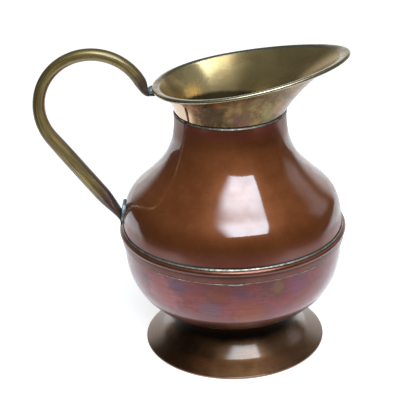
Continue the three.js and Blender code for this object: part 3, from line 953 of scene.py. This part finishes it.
# painted shade on the left side of the foot
shade_left_side = spot_at(tree, (-16, -36, 11), radius=17, softness=0.6, ragged=0.3)
colour = stain(tree, colour, shade_left_side, 0.6, (0.045, 0.026, 0.011))
colour = dimmed(tree, colour, between(tree, rings, 0.3, 0.7, 0.9, 1.1))
colour = stain(tree, colour, scratch, 0.3, (0.24, 0.14, 0.08))
worn = use_group(tree, zone, bottom=-0.001, top=0.0014, softness=0.0008, ragged=0.0006)["Mask"]
colour = stain(tree, colour, worn, 0.8, (0.32, 0.14, 0.06))
# painted shade: the throat under the bowl is nearly black, and its coat goes
throat_shade = use_group(tree, zone, bottom=0.0165, top=0.04, softness=0.009, ragged=0.002)["Mask"]
colour = stain(tree, colour, throat_shade, 0.98, (0.006, 0.003, 0.0015))
roughness = between(tree, haze, 0.0, 1.0, 0.38, 0.46)
coat = between(tree, throat_shade, 0.0, 1.0, 0.75, 0.0)
wire(tree, shader, colour, roughness, height=rings, depth=0.000004, coat=coat)
print(foot_copper.name, "has", len(tree.nodes), "nodes")

# %% [markdown]
# The bowl stood over a flame or in vinegar more often than the rest: its copper is wine red, with
# purple, blue grey and ochre stains in soft islands. They could all be placed by hand, but only
# the large ones are worth it: clouds give the many small ones.

# %% Tarnished copper of the bowl: small stains
red_copper, tree, shader = new_metal("red and purple tarnish", metallic=0.92, coat=0.75,
                                     coat_index=1.36, coat_roughness=0.10, turned_sheen=0.3)
patches = use_group(tree, clouds, size=0.022, seed=21.0, low=0.42, high=0.58, stretch=1.3)["Mask"]
purple = use_group(tree, clouds, size=0.014, seed=25.0, low=0.5, high=0.62, stretch=1.7)["Mask"]
small = use_group(tree, clouds, size=0.006, seed=28.0, low=0.5, high=0.6, stretch=1.6)["Mask"]
colour = mix_colour(tree, patches, (0.150, 0.027, 0.023), (0.205, 0.043, 0.040))
colour = stain(tree, colour, purple, 0.6, (0.12, 0.044, 0.062))
colour = stain(tree, colour, small, 0.5, (0.155, 0.042, 0.034))

# %% [markdown]
# The large stains sit where they are on the jug. Each has a middle, a radius, a share and a tint,
# so a list holds them and one loop lays them on.

# %% Tarnished copper of the bowl: large stains
bowl_spots = [
    ((-22, -62, 70), 14, 0.6, (0.29, 0.088, 0.085)),
    ((-12, -69, 79), 8, 0.55, (0.09, 0.050, 0.085)),
    ((11, -75.6, 63), 8, 0.6, (0.11, 0.060, 0.078)),
    ((16, -78, 75), 8, 0.8, (0.15, 0.036, 0.020)),
    ((31, -78, 79), 6, 0.4, (0.10, 0.040, 0.065)),
    ((39, -74.7, 58), 10, 0.85, (0.19, 0.045, 0.018)),
    ((56, -74, 76.5), 9, 0.6, (0.10, 0.040, 0.030)),
    ((58, -73.6, 78), 4.5, 0.7, (0.17, 0.085, 0.030)),
    ((72, -66, 77), 8, 0.55, (0.13, 0.046, 0.085)),
]
for point, radius, share, tint in bowl_spots:
    stain_mask = spot_at(tree, point, radius, softness=0.25, ragged=0.9)
    colour = stain(tree, colour, stain_mask, share, tint)
print("large stains on the bowl:", len(bowl_spots))

# %% [markdown]
# Brushed streaks run round the bowl, fine ones and coarser ones. Low down, towards the foot, the
# copper is painted dark, as shade, and without a gleam, with an orange line at the joint.

# %% Tarnished copper of the bowl: streaks and gleam
rings = use_group(tree, grain, spacing=0.0006, streak=0.012)["Height"]
wiped = use_group(tree, grain, spacing=0.0016, streak=0.02)["Height"]
scratch = use_group(tree, hairlines, size=0.012, width=0.02, seed=9.0)["Mask"]
colour = dimmed(tree, colour, between(tree, rings, 0.3, 0.7, 0.9, 1.1))
colour = dimmed(tree, colour, between(tree, wiped, 0.35, 0.7, 0.92, 1.08))
colour = stain(tree, colour, scratch, 0.1, (0.45, 0.22, 0.19))
# painted shade low on the bowl, towards the foot
shade_low_on_bowl = use_group(tree, zone, bottom=0.0, top=0.0495, softness=0.003, ragged=0.001)["Mask"]
colour = stain(tree, colour, shade_low_on_bowl, 0.85, (0.10, 0.025, 0.012))
joint = use_group(tree, zone, bottom=0.0, top=0.039, softness=0.003, ragged=0.001)["Mask"]
colour = stain(tree, colour, joint, 0.7, (0.30, 0.085, 0.025))
roughness = between(tree, patches, 0.0, 1.0, 0.34, 0.44)
coat = between(tree, shade_low_on_bowl, 0.0, 1.0, 0.85, 0.05)
wire(tree, shader, colour, roughness, height=rings, depth=0.000006, coat=coat)
print(red_copper.name, "has", len(tree.nodes), "nodes")

# %% [markdown]
# The band is brown like the body but redder. A painted highlight runs along the top of its bead, and
# painted shade fills the groove under the bead.

# %% Brown copper of the band
band_copper, tree, shader = new_metal("brown copper of the band", metallic=0.65, coat=0.45,
                                      coat_index=1.5, coat_roughness=0.10, turned_sheen=0.2)
haze = use_group(tree, clouds, size=0.02, seed=71.0, low=0.38, high=0.62)["Mask"]
rings = use_group(tree, grain, spacing=0.0005, streak=0.02)["Height"]
pits = use_group(tree, specks, spacing=0.0025, size=0.25, share=0.3, seed=15.0)["Mask"]
colour = mix_colour(tree, haze, (0.14, 0.036, 0.020), (0.19, 0.054, 0.034))
# painted highlight along the top of the bead
rubbed = use_group(tree, zone, bottom=0.0932, top=0.0942, softness=0.0012, ragged=0.0008)["Mask"]
colour = stain(tree, colour, rubbed, 0.6, (0.42, 0.17, 0.09))
# painted shade in the groove under the bead
corner = use_group(tree, zone, bottom=0.0886, top=0.0899, softness=0.0010, ragged=0.0006)["Mask"]
colour = stain(tree, colour, corner, 0.7, (0.045, 0.018, 0.014))
colour = stain(tree, colour, pits, 0.5, (0.04, 0.016, 0.012))
colour = dimmed(tree, colour, between(tree, rings, 0.3, 0.7, 0.92, 1.08))
roughness = between(tree, haze, 0.0, 1.0, 0.30, 0.40)
wire(tree, shader, colour, roughness, height=rings, depth=0.000004)
print(band_copper.name, "has", len(tree.nodes), "nodes")

# %% [markdown]
# Brass goes olive with age. Inside the collar it is an even, silky olive gold, which takes the light
# of the room softly. Deep in the neck it is painted dark, as shade, and at the back of the collar a
# bright painted highlight lies on it, with a small golden painted glint below.

# %% Aged brass of the collar's inside
inner_brass, tree, shader = new_metal("silky aged brass", metallic=0.7, turned_sheen=0.7)
haze = use_group(tree, clouds, size=0.03, seed=41.0, low=0.35, high=0.65)["Mask"]
stains = use_group(tree, clouds, size=0.012, seed=45.0, low=0.5, high=0.7)["Mask"]
rings = use_group(tree, grain, spacing=0.0004, streak=0.015)["Height"]
pits = use_group(tree, specks, spacing=0.003, size=0.2, share=0.3, seed=3.0)["Mask"]
colour = mix_colour(tree, haze, (0.32, 0.215, 0.086), (0.40, 0.275, 0.115))
colour = stain(tree, colour, stains, 0.3, (0.26, 0.16, 0.065))
colour = stain(tree, colour, pits, 0.5, (0.12, 0.08, 0.05))
colour = dimmed(tree, colour, between(tree, rings, 0.3, 0.7, 0.95, 1.05))
# painted highlight: the softbox's gleam on the inner back wall
back_wall_highlight = spot_at(tree, (4, 36, 192), radius=14, softness=0.6)
colour = stain(tree, colour, back_wall_highlight, 0.85, (0.74, 0.54, 0.25))
# painted highlight: a small golden glint below the bright zone
golden_glow_highlight = spot_at(tree, (0, 34, 184.5), radius=6, softness=0.6)
colour = stain(tree, colour, golden_glow_highlight, 0.85, (0.80, 0.48, 0.16))
# painted shade deep in the neck, inside the collar
neck_recess_shade = use_group(tree, zone, bottom=0.10, top=0.1815, softness=0.003, ragged=0.0015)["Mask"]
colour = stain(tree, colour, neck_recess_shade, 0.9, (0.085, 0.060, 0.024))
roughness = between(tree, haze, 0.0, 1.0, 0.24, 0.30)
wire(tree, shader, colour, roughness, height=rings, depth=0.000006)
print(inner_brass.name, "has", len(tree.nodes), "nodes")

# %% [markdown]
# The handle is the same brass, but hands keep it smooth, so it has a clear gleam with a narrow
# light along its top. Fine drawing lines run the length of the tube: noise over the place on the
# tube, which changes fast round it and slowly along it.

# %% Aged brass of the handle: drawing lines
handle_brass, tree, shader = new_metal("aged brass of the handle", metallic=0.5, coat=0.55,
                                       coat_index=1.6, coat_roughness=0.10)
waves_along = 9.0
place = put(tree, "Attribute", attribute_name="on_tube").outputs["Vector"]
parts = parts_of(tree, place)
slow = math_node(tree, "MULTIPLY", parts[2], waves_along)
lengthwise = put(tree, "CombineXYZ", {0: parts[0], 1: parts[1], 2: slow}).outputs[0]
drawn = put(tree, "TexNoise", {"Vector": lengthwise, "Scale": 4.0, "Detail": 4.0, "Roughness": 0.6})
drawn_lines = drawn.outputs[0]
haze = use_group(tree, clouds, size=0.02, seed=43.0, low=0.35, high=0.65)["Mask"]
pits = use_group(tree, specks, spacing=0.0022, size=0.25, share=0.3, seed=4.0)["Mask"]
colour = mix_colour(tree, haze, (0.30, 0.205, 0.066), (0.375, 0.26, 0.092))
colour = dimmed(tree, colour, between(tree, drawn_lines, 0.38, 0.62, 0.6, 1.2))

# %% [markdown]
# One dark seam runs along the tube. Its two sides are tinted with painted light and shade: in the
# loop the inner side is redder, a painted warm reflection, and the outer side darker, painted shade;
# on the straight leg the two are the other way about, and both sides there are painted shade.
# Where the tube was pinched and soldered the flame turned it dark purple brown, so spots at the
# places of the two solders darken its ends.

# %% Aged brass of the handle: seam, sides and ends
seam_angle = math.radians(-66)
seam_side = (-math.sin(seam_angle), math.cos(seam_angle), 0)
off_seam = put(tree, "VectorMath", {0: place, 1: seam_side}, operation="DOT_PRODUCT").outputs["Value"]
seam_line = between(tree, math_node(tree, "ABSOLUTE", off_seam), 0.03, 0.10, 1.0, 0.0)
colour = stain(tree, colour, seam_line, 0.55, (0.07, 0.040, 0.016))
loop_ends, leg_begins = 0.6 * handle_length, 0.72 * handle_length
on_leg = between(tree, parts[2], loop_ends, leg_begins)
# painted warm reflection on the loop's inner side, painted shade on the leg's inner side
inner_reflection_and_shade = between(tree, parts[0], -0.45, -0.95)
inner_reflection_and_shade_tint = mix_colour(tree, on_leg, (0.26, 0.09, 0.05), (0.07, 0.06, 0.07))
colour = stain(tree, colour, inner_reflection_and_shade, 0.6, inner_reflection_and_shade_tint)
# painted shade along the outer side of the tube
outer_shade = between(tree, parts[0], 0.5, 0.95)
outer_shade_tint = mix_colour(tree, on_leg, (0.10, 0.06, 0.022), (0.19, 0.11, 0.06))
colour = stain(tree, colour, outer_shade, 0.6, outer_shade_tint)
colour = stain(tree, colour, pits, 0.5, (0.10, 0.06, 0.03))
reddish = use_group(tree, clouds, size=0.016, seed=47.0, low=0.48, high=0.66)["Mask"]
colour = stain(tree, colour, reddish, 0.4, (0.25, 0.125, 0.045))
for solder_name, lift, reach in (("handle_solder_upper", 2, 13), ("handle_solder_lower", 8, 19)):
    low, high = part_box(solder_name)
    middle = (low + high) / 2 * metre_in_millimetres + Vector((0, 0, lift))
    dark_end = spot_at(tree, middle, radius=reach, softness=0.5)
    colour = stain(tree, colour, dark_end, 0.8, (0.085, 0.045, 0.050))
roughness = between(tree, drawn_lines, 0.38, 0.62, 0.46, 0.36)
wire(tree, shader, colour, roughness, height=drawn_lines, depth=0.00003)
print(handle_brass.name, "has", len(tree.nodes), "nodes")

# %% [markdown]
# Outside, the collar got the flame and the flux of the soldering. The brass is blotched there with
# olive, orange and purple brown, and peppered with dark specks. Only at the left it is smooth enough
# to show the mirror image of the handle as one dark line, and a pale cream patch there is a painted
# reflection of the white table. The sheet is one piece, so its outer faces simply take a second
# material.

# %% Stained brass of the collar's outside
outer_brass, tree, shader = new_metal("flame stained brass", metallic=0.9, coat=0.25,
                                      coat_index=1.4, coat_roughness=0.05)
blotches = use_group(tree, clouds, size=0.006, seed=66.0, low=0.38, high=0.66)["Mask"]
orange = use_group(tree, clouds, size=0.014, seed=64.0, low=0.5, high=0.66)["Mask"]
pepper = use_group(tree, specks, spacing=0.0011, size=0.5, share=0.5, seed=8.0)["Mask"]
freckles = use_group(tree, specks, spacing=0.0013, size=0.4, share=0.45, seed=12.0)["Mask"]
rings = use_group(tree, grain, spacing=0.0004, streak=0.015)["Height"]
colour = mix_colour(tree, blotches, (0.145, 0.083, 0.030), (0.21, 0.135, 0.050))
colour = stain(tree, colour, orange, 0.45, (0.36, 0.16, 0.055))
collar_spots = [
    ((3, -37, 192), 8, 0.8, (0.40, 0.17, 0.065)),
    ((14, -39, 189), 12, 0.9, (0.050, 0.024, 0.007)),
    ((20, -44, 201), 4, 0.55, (0.34, 0.11, 0.04)),
    ((34, -40, 186), 7, 0.6, (0.14, 0.062, 0.050)),
    ((54, -33, 189), 6, 0.45, (0.26, 0.24, 0.09)),
    ((60, -28, 192), 5, 0.4, (0.36, 0.16, 0.09)),
]
for point, radius, share, tint in collar_spots:
    stain_mask = spot_at(tree, point, radius, softness=0.5, ragged=0.9)
    colour = stain(tree, colour, stain_mask, share, tint)
colour = stain(tree, colour, pepper, 0.8, (0.06, 0.032, 0.014))
colour = stain(tree, colour, freckles, 0.5, (0.36, 0.26, 0.12))
# painted reflection: a pale cream patch at the left, which is also smoother
smooth_and_reflection = spot_at(tree, (-8, -20, 188), radius=15, softness=0.2, ragged=0.15)
colour = stain(tree, colour, smooth_and_reflection, 0.9, (0.68, 0.46, 0.28))
roughness = between(tree, blotches, 0.0, 1.0, 0.30, 0.22)
roughness = math_node(tree, "MULTIPLY", roughness, between(tree, smooth_and_reflection, 0.0, 1.0, 1.0, 0.25))
wire(tree, shader, colour, roughness, height=pepper, depth=0.000003)
print(outer_brass.name, "has", len(tree.nodes), "nodes")

# %% [markdown]
# Hands and cloths touch the rolled rim and the lip beside it first. They are the brightest brass
# of the jug: a pale, smooth metal with one sharp line of light along the roll. They are the
# third material of the collar's sheet.

# %% Rubbed brass of the rim
rim_brass, tree, shader = new_metal("rubbed brass of the rim", metallic=0.85, coat=0.5,
                                    coat_index=1.6, coat_roughness=0.07)
haze = use_group(tree, clouds, size=0.008, seed=81.0, low=0.35, high=0.65)["Mask"]
dents = use_group(tree, clouds, size=0.004, seed=84.0, low=0.3, high=0.7)["Mask"]
colour = mix_colour(tree, haze, (0.36, 0.285, 0.16), (0.52, 0.43, 0.27))
roughness = between(tree, haze, 0.0, 1.0, 0.30, 0.21)
wire(tree, shader, colour, roughness, height=dents, depth=0.00003)
print(rim_brass.name, "has", len(tree.nodes), "nodes")

# %% [markdown]
# Soft solder was bright when it was new, and now it is a dull olive grey with dark dirt in its
# hollows. At the handle's two ends damp has turned it pale blue green.

# %% Old solder, plain and with verdigris
def old_solder(name, green_share, dark, light):
    material, tree, shader = new_metal(name, metallic=0.7)
    lumps = use_group(tree, clouds, size=0.0035, seed=51.0, low=0.3, high=0.7)["Mask"]
    green = use_group(tree, clouds, size=0.006, seed=55.0, low=0.45, high=0.6)["Mask"]
    dirt = use_group(tree, specks, spacing=0.0012, size=0.4, share=0.45, seed=6.0)["Mask"]
    colour = mix_colour(tree, lumps, dark, light)
    colour = stain(tree, colour, green, green_share, (0.36, 0.46, 0.42))
    colour = stain(tree, colour, dirt, 0.6, (0.06, 0.045, 0.035))
    roughness = between(tree, lumps, 0.0, 1.0, 0.52, 0.38)
    wire(tree, shader, colour, roughness, height=lumps, depth=0.0001)
    print(name, "has", len(tree.nodes), "nodes")
    return material


solder = old_solder("dull soft solder", green_share=0.06,
                    dark=(0.20, 0.175, 0.12), light=(0.58, 0.53, 0.42))
green_solder = old_solder("solder with verdigris", green_share=0.9,
                          dark=(0.22, 0.25, 0.24), light=(0.42, 0.47, 0.46))

# %% [markdown]
# Now every piece gets its finish. The solids that keep their own shape get one too: the copper wire
# in the rim and the two solders of the handle. The solder between bowl and foot lies deep in the
# throat, so it takes the foot's finish with the painted shade that the foot has there.

# %% Finishes on their pieces
finishes = [(copper, body), (foot_copper, foot), (red_copper, bowl), (band_copper, band),
            (inner_brass, collar), (handle_brass, handle), (solder, neck_join), (solder, upper_join),
            (solder, lower_join), (foot_copper, foot_join)]
finishes += [(green_solder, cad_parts["handle_solder_upper"]),
             (green_solder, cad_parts["handle_solder_lower"]),
             (red_copper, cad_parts["rim_wire"])]
for material, thing in finishes:
    thing.data.materials.clear()
    thing.data.materials.append(material)
print("materials:", sorted(material.name for material in bpy.data.materials))

# %% [markdown]
# The collar's sheet has three finishes: silky inside, stained outside, and rubbed on the roll and
# on the lip. Its faces are numbered ring by ring: from the spigot up the outside, round the
# hidden face of the roll, back over its outer face to the lip, and down the inside. So the number
# tells the roll and the lip, and on the rest a face that looks away from the axis is outside.

# %% Three finishes of the collar
collar.data.materials.append(outer_brass)
collar.data.materials.append(rim_brass)
stained, rubbed_bare = 1, 2
spigot_rings = 2
roll_first = spigot_rings + (wall_steps + 1) + (roll_steps + 1)
rolled = range(roll_first, roll_first + roll_steps + 3)
for face in collar.data.polygons:
    from_axis = face.center - Vector((axis_x, 0, face.center.z))
    if face.index // turn_steps in rolled:
        face.material_index = rubbed_bare
    elif face.normal.dot(from_axis) > 0:
        face.material_index = stained
print("rings of the collar that are rubbed:", rolled)

# %% [markdown]
# The photograph was taken with a long lens from about 0.9 m, well above the table. The camera
# looks towards the foot first, about 30 degrees down, and three small turns then frame the jug as
# it is framed there: one about its upright, one about its level axis and one about its line of
# sight.

# %% Camera
swing, tilt, roll = math.radians(1.515), math.radians(6.241), math.radians(-1.058)
camera_data = bpy.data.cameras.new("photograph_camera")
camera_data.lens = 109.2
camera_data.sensor_width = 36
camera_data.clip_start = 0.01
camera = bpy.data.objects.new("photograph_camera", camera_data)
bpy.context.scene.collection.objects.link(camera)
camera.location = (axis_x, -0.8050, 0.4736)
camera.rotation_mode = "QUATERNION"
towards_foot = (Vector((axis_x, 0, 0)) - camera.location).to_track_quat("-Z", "Y")
camera.rotation_quaternion = (
    towards_foot
    @ Quaternion((0, 1, 0), swing)
    @ Quaternion((1, 0, 0), tilt)
    @ Quaternion((0, 0, 1), roll)
)
bpy.context.scene.camera = camera
bpy.context.scene.view_settings.view_transform = "Standard"
print("camera at", tuple(round(c, 4) for c in camera.location), "lens %.1f mm" % camera_data.lens)

# %% [markdown]
# A shiny thing shows the studio as much as itself, so the studio is rebuilt from what the jug
# mirrors in the photograph: one large softbox high in front, a white table and a white wall
# behind, and darkness everywhere else. A ready picture of a room could light it too, but then
# its patches of light would sit in other places. Cards that only the mirror images need aren't
# seen by the camera and throw no shadow.

# %% Helpers: plain materials and cards
nearly_black = (0.008, 0.008, 0.008)


def plain(name, colour, glow=0.0):
    material = bpy.data.materials.new(name)
    material.use_nodes = True
    tree = material.node_tree
    shader = tree.nodes["Principled BSDF"]
    shader.inputs["Base Color"].default_value = (*colour, 1)
    shader.inputs["Roughness"].default_value = 0.9
    shader.inputs["Specular IOR Level"].default_value = 0.0
    shader.inputs["Emission Color"].default_value = (*colour, 1)
    shader.inputs["Emission Strength"].default_value = glow
    return material, tree, shader


def studio_piece(name, points, faces, material, seen=False, shades=False):
    mesh = bpy.data.meshes.new(name)
    mesh.from_pydata(points, [], faces)
    mesh.materials.append(material)
    piece = bpy.data.objects.new(name, mesh)
    bpy.context.scene.collection.objects.link(piece)
    piece.visible_camera = seen
    piece.visible_shadow = shades
    print("studio:", name)
    return piece


def card(name, material, x_range, y_range, height=0.0, seen=False, shades=False):
    (left, right), (front, back) = x_range, y_range
    plan = ((left, front), (right, front), (right, back), (left, back))
    corners = [(x, y, height) for x, y in plan]
    return studio_piece(name, corners, [(0, 1, 2, 3)], material, seen, shades)


# %% [markdown]
# Lamps and cards far from the jug are placed by two angles and a distance: the azimuth goes round
# the jug from the front, to the right, and the elevation goes up from the table. Each one is
# turned to face the jug.

# %% Helpers: directions from the jug
def direction(azimuth, elevation):
    a, e = math.radians(azimuth), math.radians(elevation)
    return Vector((math.cos(e) * math.sin(a), -math.cos(e) * math.cos(a), math.sin(e)))


jug_middle = Vector((axis_x, -0.05, 0.13))


def face_the_jug(thing, azimuth, elevation, distance):
    thing.location = jug_middle + direction(azimuth, elevation) * distance
    thing.rotation_mode = "QUATERNION"
    thing.rotation_quaternion = (thing.location - jug_middle).to_track_quat("Z", "Y")


# %% [markdown]
# The softbox is an area lamp. A glowing card could do the same, but a lamp gives less noise. Its
# brightness is given as radiance, so that its size can change without changing how bright it
# looks in a reflection.

# %% Softbox
key_azimuth, key_elevation, key_distance = 15.5, 57, 1.1
key_width, key_height = 0.90, 0.86
key_radiance = 6.7
lamp = bpy.data.lights.new("key_softbox", "AREA")
lamp.shape = "RECTANGLE"
lamp.size = key_width
lamp.size_y = key_height
lamp.energy = key_radiance * key_width * key_height * math.pi
lamp.color = (0.87, 1.03, 1.19)
softbox = bpy.data.objects.new("key_softbox", lamp)
bpy.context.scene.collection.objects.link(softbox)
face_the_jug(softbox, key_azimuth, key_elevation, key_distance)
softbox.visible_camera = False
print("softbox of %.0f W" % lamp.energy)

# %% [markdown]
# The softbox is brightest low and at the right, and its upper and left borders fade. A gauze just
# before it, growing denser to those two borders, gives that.

# %% Gauze before the softbox
gauze_half, gauze_distance = 0.46, key_distance - 0.01
gauze_range = (-gauze_half, gauze_half)
gauze, tree, shader = plain("gauze", nearly_black)
parts = parts_of(tree, put(tree, "TexCoord").outputs["Generated"])
left_fade = between(tree, parts[0], 0.0, 0.32)
top_fade = between(tree, parts[1], 1.0, 0.6, 0.18, 1.0)
clear = math_node(tree, "MULTIPLY", left_fade, top_fade)
tree.links.new(math_node(tree, "SUBTRACT", 1.0, clear), shader.inputs["Alpha"])
gauze_card = card("gauze", gauze, gauze_range, gauze_range)
face_the_jug(gauze_card, key_azimuth, key_elevation, gauze_distance)

# %% [markdown]
# The table is white. It also glows, but only for the camera and for mirror images, and more so
# far from the jug, where a second lamp lit it. So it comes out white without throwing more light
# on the jug, and it keeps the soft shadow. The kind of ray tells who is looking: the camera, or
# metal that mirrors the table.

# %% Table
def seen_or_mirrored(tree):
    path = put(tree, "LightPath").outputs
    shiny = math_node(tree, "MAXIMUM", path["Is Glossy Ray"], path["Is Transmission Ray"])
    return math_node(tree, "MAXIMUM", path["Is Camera Ray"], shiny)


table_height = -0.0003
table_range = (-4, 4)
white, tree, shader = plain("white table", (0.8, 0.8, 0.8))
place = place_in(tree)
middle = (axis_x, 0.0, 0.0)
far = put(tree, "VectorMath", {0: place, 1: middle}, operation="DISTANCE").outputs["Value"]
far_glow = between(tree, far, 0.4, 3.0, 1.0, 1.25)
glow = math_node(tree, "MULTIPLY", seen_or_mirrored(tree), far_glow)
tree.links.new(glow, shader.inputs["Emission Strength"])
card("table", white, table_range, table_range, table_height, seen=True, shades=True)

# %% [markdown]
# The room is dark in front, at the sides and above. Only behind the jug is there a low white
# wall, with soft borders. The dark part is a sphere round the jug that turns clear where the
# wall is, and the wall is the world behind it. Angles round the jug and above the table, taken
# from the sphere's own coordinates, say how clear it is.

# %% Dark room: its material
room_radius = 1.7
black, tree, shader = plain("dark room", nearly_black)
place = place_in(tree)
from_jug = put(tree, "VectorMath", {0: place, 1: jug_middle}, operation="SUBTRACT").outputs[0]
parts = parts_of(tree, from_jug)
ahead = math_node(tree, "MULTIPLY", parts[1], -1.0)
round_jug = math_node(tree, "ABSOLUTE", math_node(tree, "ARCTAN2", parts[0], ahead))
height_share = math_node(tree, "DIVIDE", parts[2], room_radius)
side_border = between(tree, round_jug, math.radians(133), math.radians(147))
wall_low_end, wall_high_end = math.sin(math.radians(15)), math.sin(math.radians(38))
low_enough = between(tree, height_share, wall_low_end, wall_high_end, 1.0, 0.0)
open_share = math_node(tree, "MULTIPLY", side_border, low_enough)
tree.links.new(math_node(tree, "SUBTRACT", 1.0, open_share), shader.inputs["Alpha"])

# %% [markdown]
# The sphere itself is a grid of points, closed round the jug, from a little below the table up
# to the zenith. It throws a shadow, so that the world's light comes in only where it is clear.

# %% Dark room: its sphere
round_steps, up_steps = 72, 19
lowest = -8
row = round_steps + 1
room_points = []
room_faces = []
for i in range(up_steps + 1):
    elevation = lowest + (90 - lowest) / up_steps * i
    for k in range(row):
        azimuth = -180 + 360 / round_steps * k
        room_points.append(tuple(jug_middle + direction(azimuth, elevation) * room_radius))
for i in range(up_steps):
    for k in range(round_steps):
        corner = i * row + k
        room_faces.append((corner, corner + 1, corner + row + 1, corner + row))
studio_piece("dark_room", room_points, room_faces, black, shades=True)

# %% [markdown]
# In mirror images the table is lit only near the jug and behind it, and fades into the dark.
# A dark card just above the table does that. It is clear in the middle, and its darkness grows
# with the distance to the front or to the side. On the left the lit part spreads wider behind.

# %% Dark card over the table's far parts
shade, tree, shader = plain("fading dark card", nearly_black)
spread_right, spread_left = 0.9, 2.0
parts = parts_of(tree, place_in(tree))
to_right = math_node(tree, "SUBTRACT", parts[0], axis_x)
to_left = math_node(tree, "MULTIPLY", to_right, -1.0)
behind = math_node(tree, "MAXIMUM", parts[1], 0.0)
right_room = math_node(tree, "MULTIPLY", behind, spread_right)
left_room = math_node(tree, "MULTIPLY", behind, spread_left)
right_away = math_node(tree, "SUBTRACT", to_right, right_room)
left_away = math_node(tree, "SUBTRACT", to_left, left_room)
ahead = math_node(tree, "MULTIPLY", parts[1], -1.0)
side_away = math_node(tree, "MAXIMUM", right_away, left_away)
side_dark = between(tree, side_away, 0.22, 0.42)
front_dark = between(tree, ahead, 0.15, 0.33)
tree.links.new(math_node(tree, "MAXIMUM", side_dark, front_dark), shader.inputs["Alpha"])
shade_height = 0.0015
card("fading_dark_card", shade, x_range=(-1.8, 1.8), y_range=(-2.2, 1.6), height=shade_height)

# %% [markdown]
# A second light stood far off at the right. It only shows as a faint patch, so it is a card with
# a soft border, and the card's own coordinates give the border.

# %% Faint card at the right
faint_range = (-0.42, 0.42)
faint, tree, shader = plain("faint light", (1.0, 0.95, 0.97), glow=0.16)
parts = parts_of(tree, put(tree, "TexCoord").outputs["Generated"])
border = 1.0
for part in (parts[0], parts[1]):
    off_middle = math_node(tree, "ABSOLUTE", math_node(tree, "SUBTRACT", part, 0.5))
    border = math_node(tree, "MULTIPLY", between(tree, off_middle, 0.12, 0.5, 1.0, 0.0), border)
tree.links.new(border, shader.inputs["Alpha"])
faint_card = card("faint_card_right", faint, faint_range, faint_range)
face_the_jug(faint_card, azimuth=117, elevation=20, distance=1.3)

# %% [markdown]
# The world lights the jug at half strength and is seen, and mirrored, at full strength.

# %% World
world = bpy.data.worlds.new("studio")
bpy.context.scene.world = world
world.use_nodes = True
tree = world.node_tree
background = tree.nodes["Background"]
light_strength, seen_strength = 0.5, 1.0
limits = {"Value": seen_or_mirrored(tree), "To Min": light_strength, "To Max": seen_strength}
strength = put(tree, "MapRange", limits).outputs[0]
tree.links.new(strength, background.inputs["Strength"])
background.inputs["Color"].default_value = (1, 1, 1, 1)
print("world:", world.name)
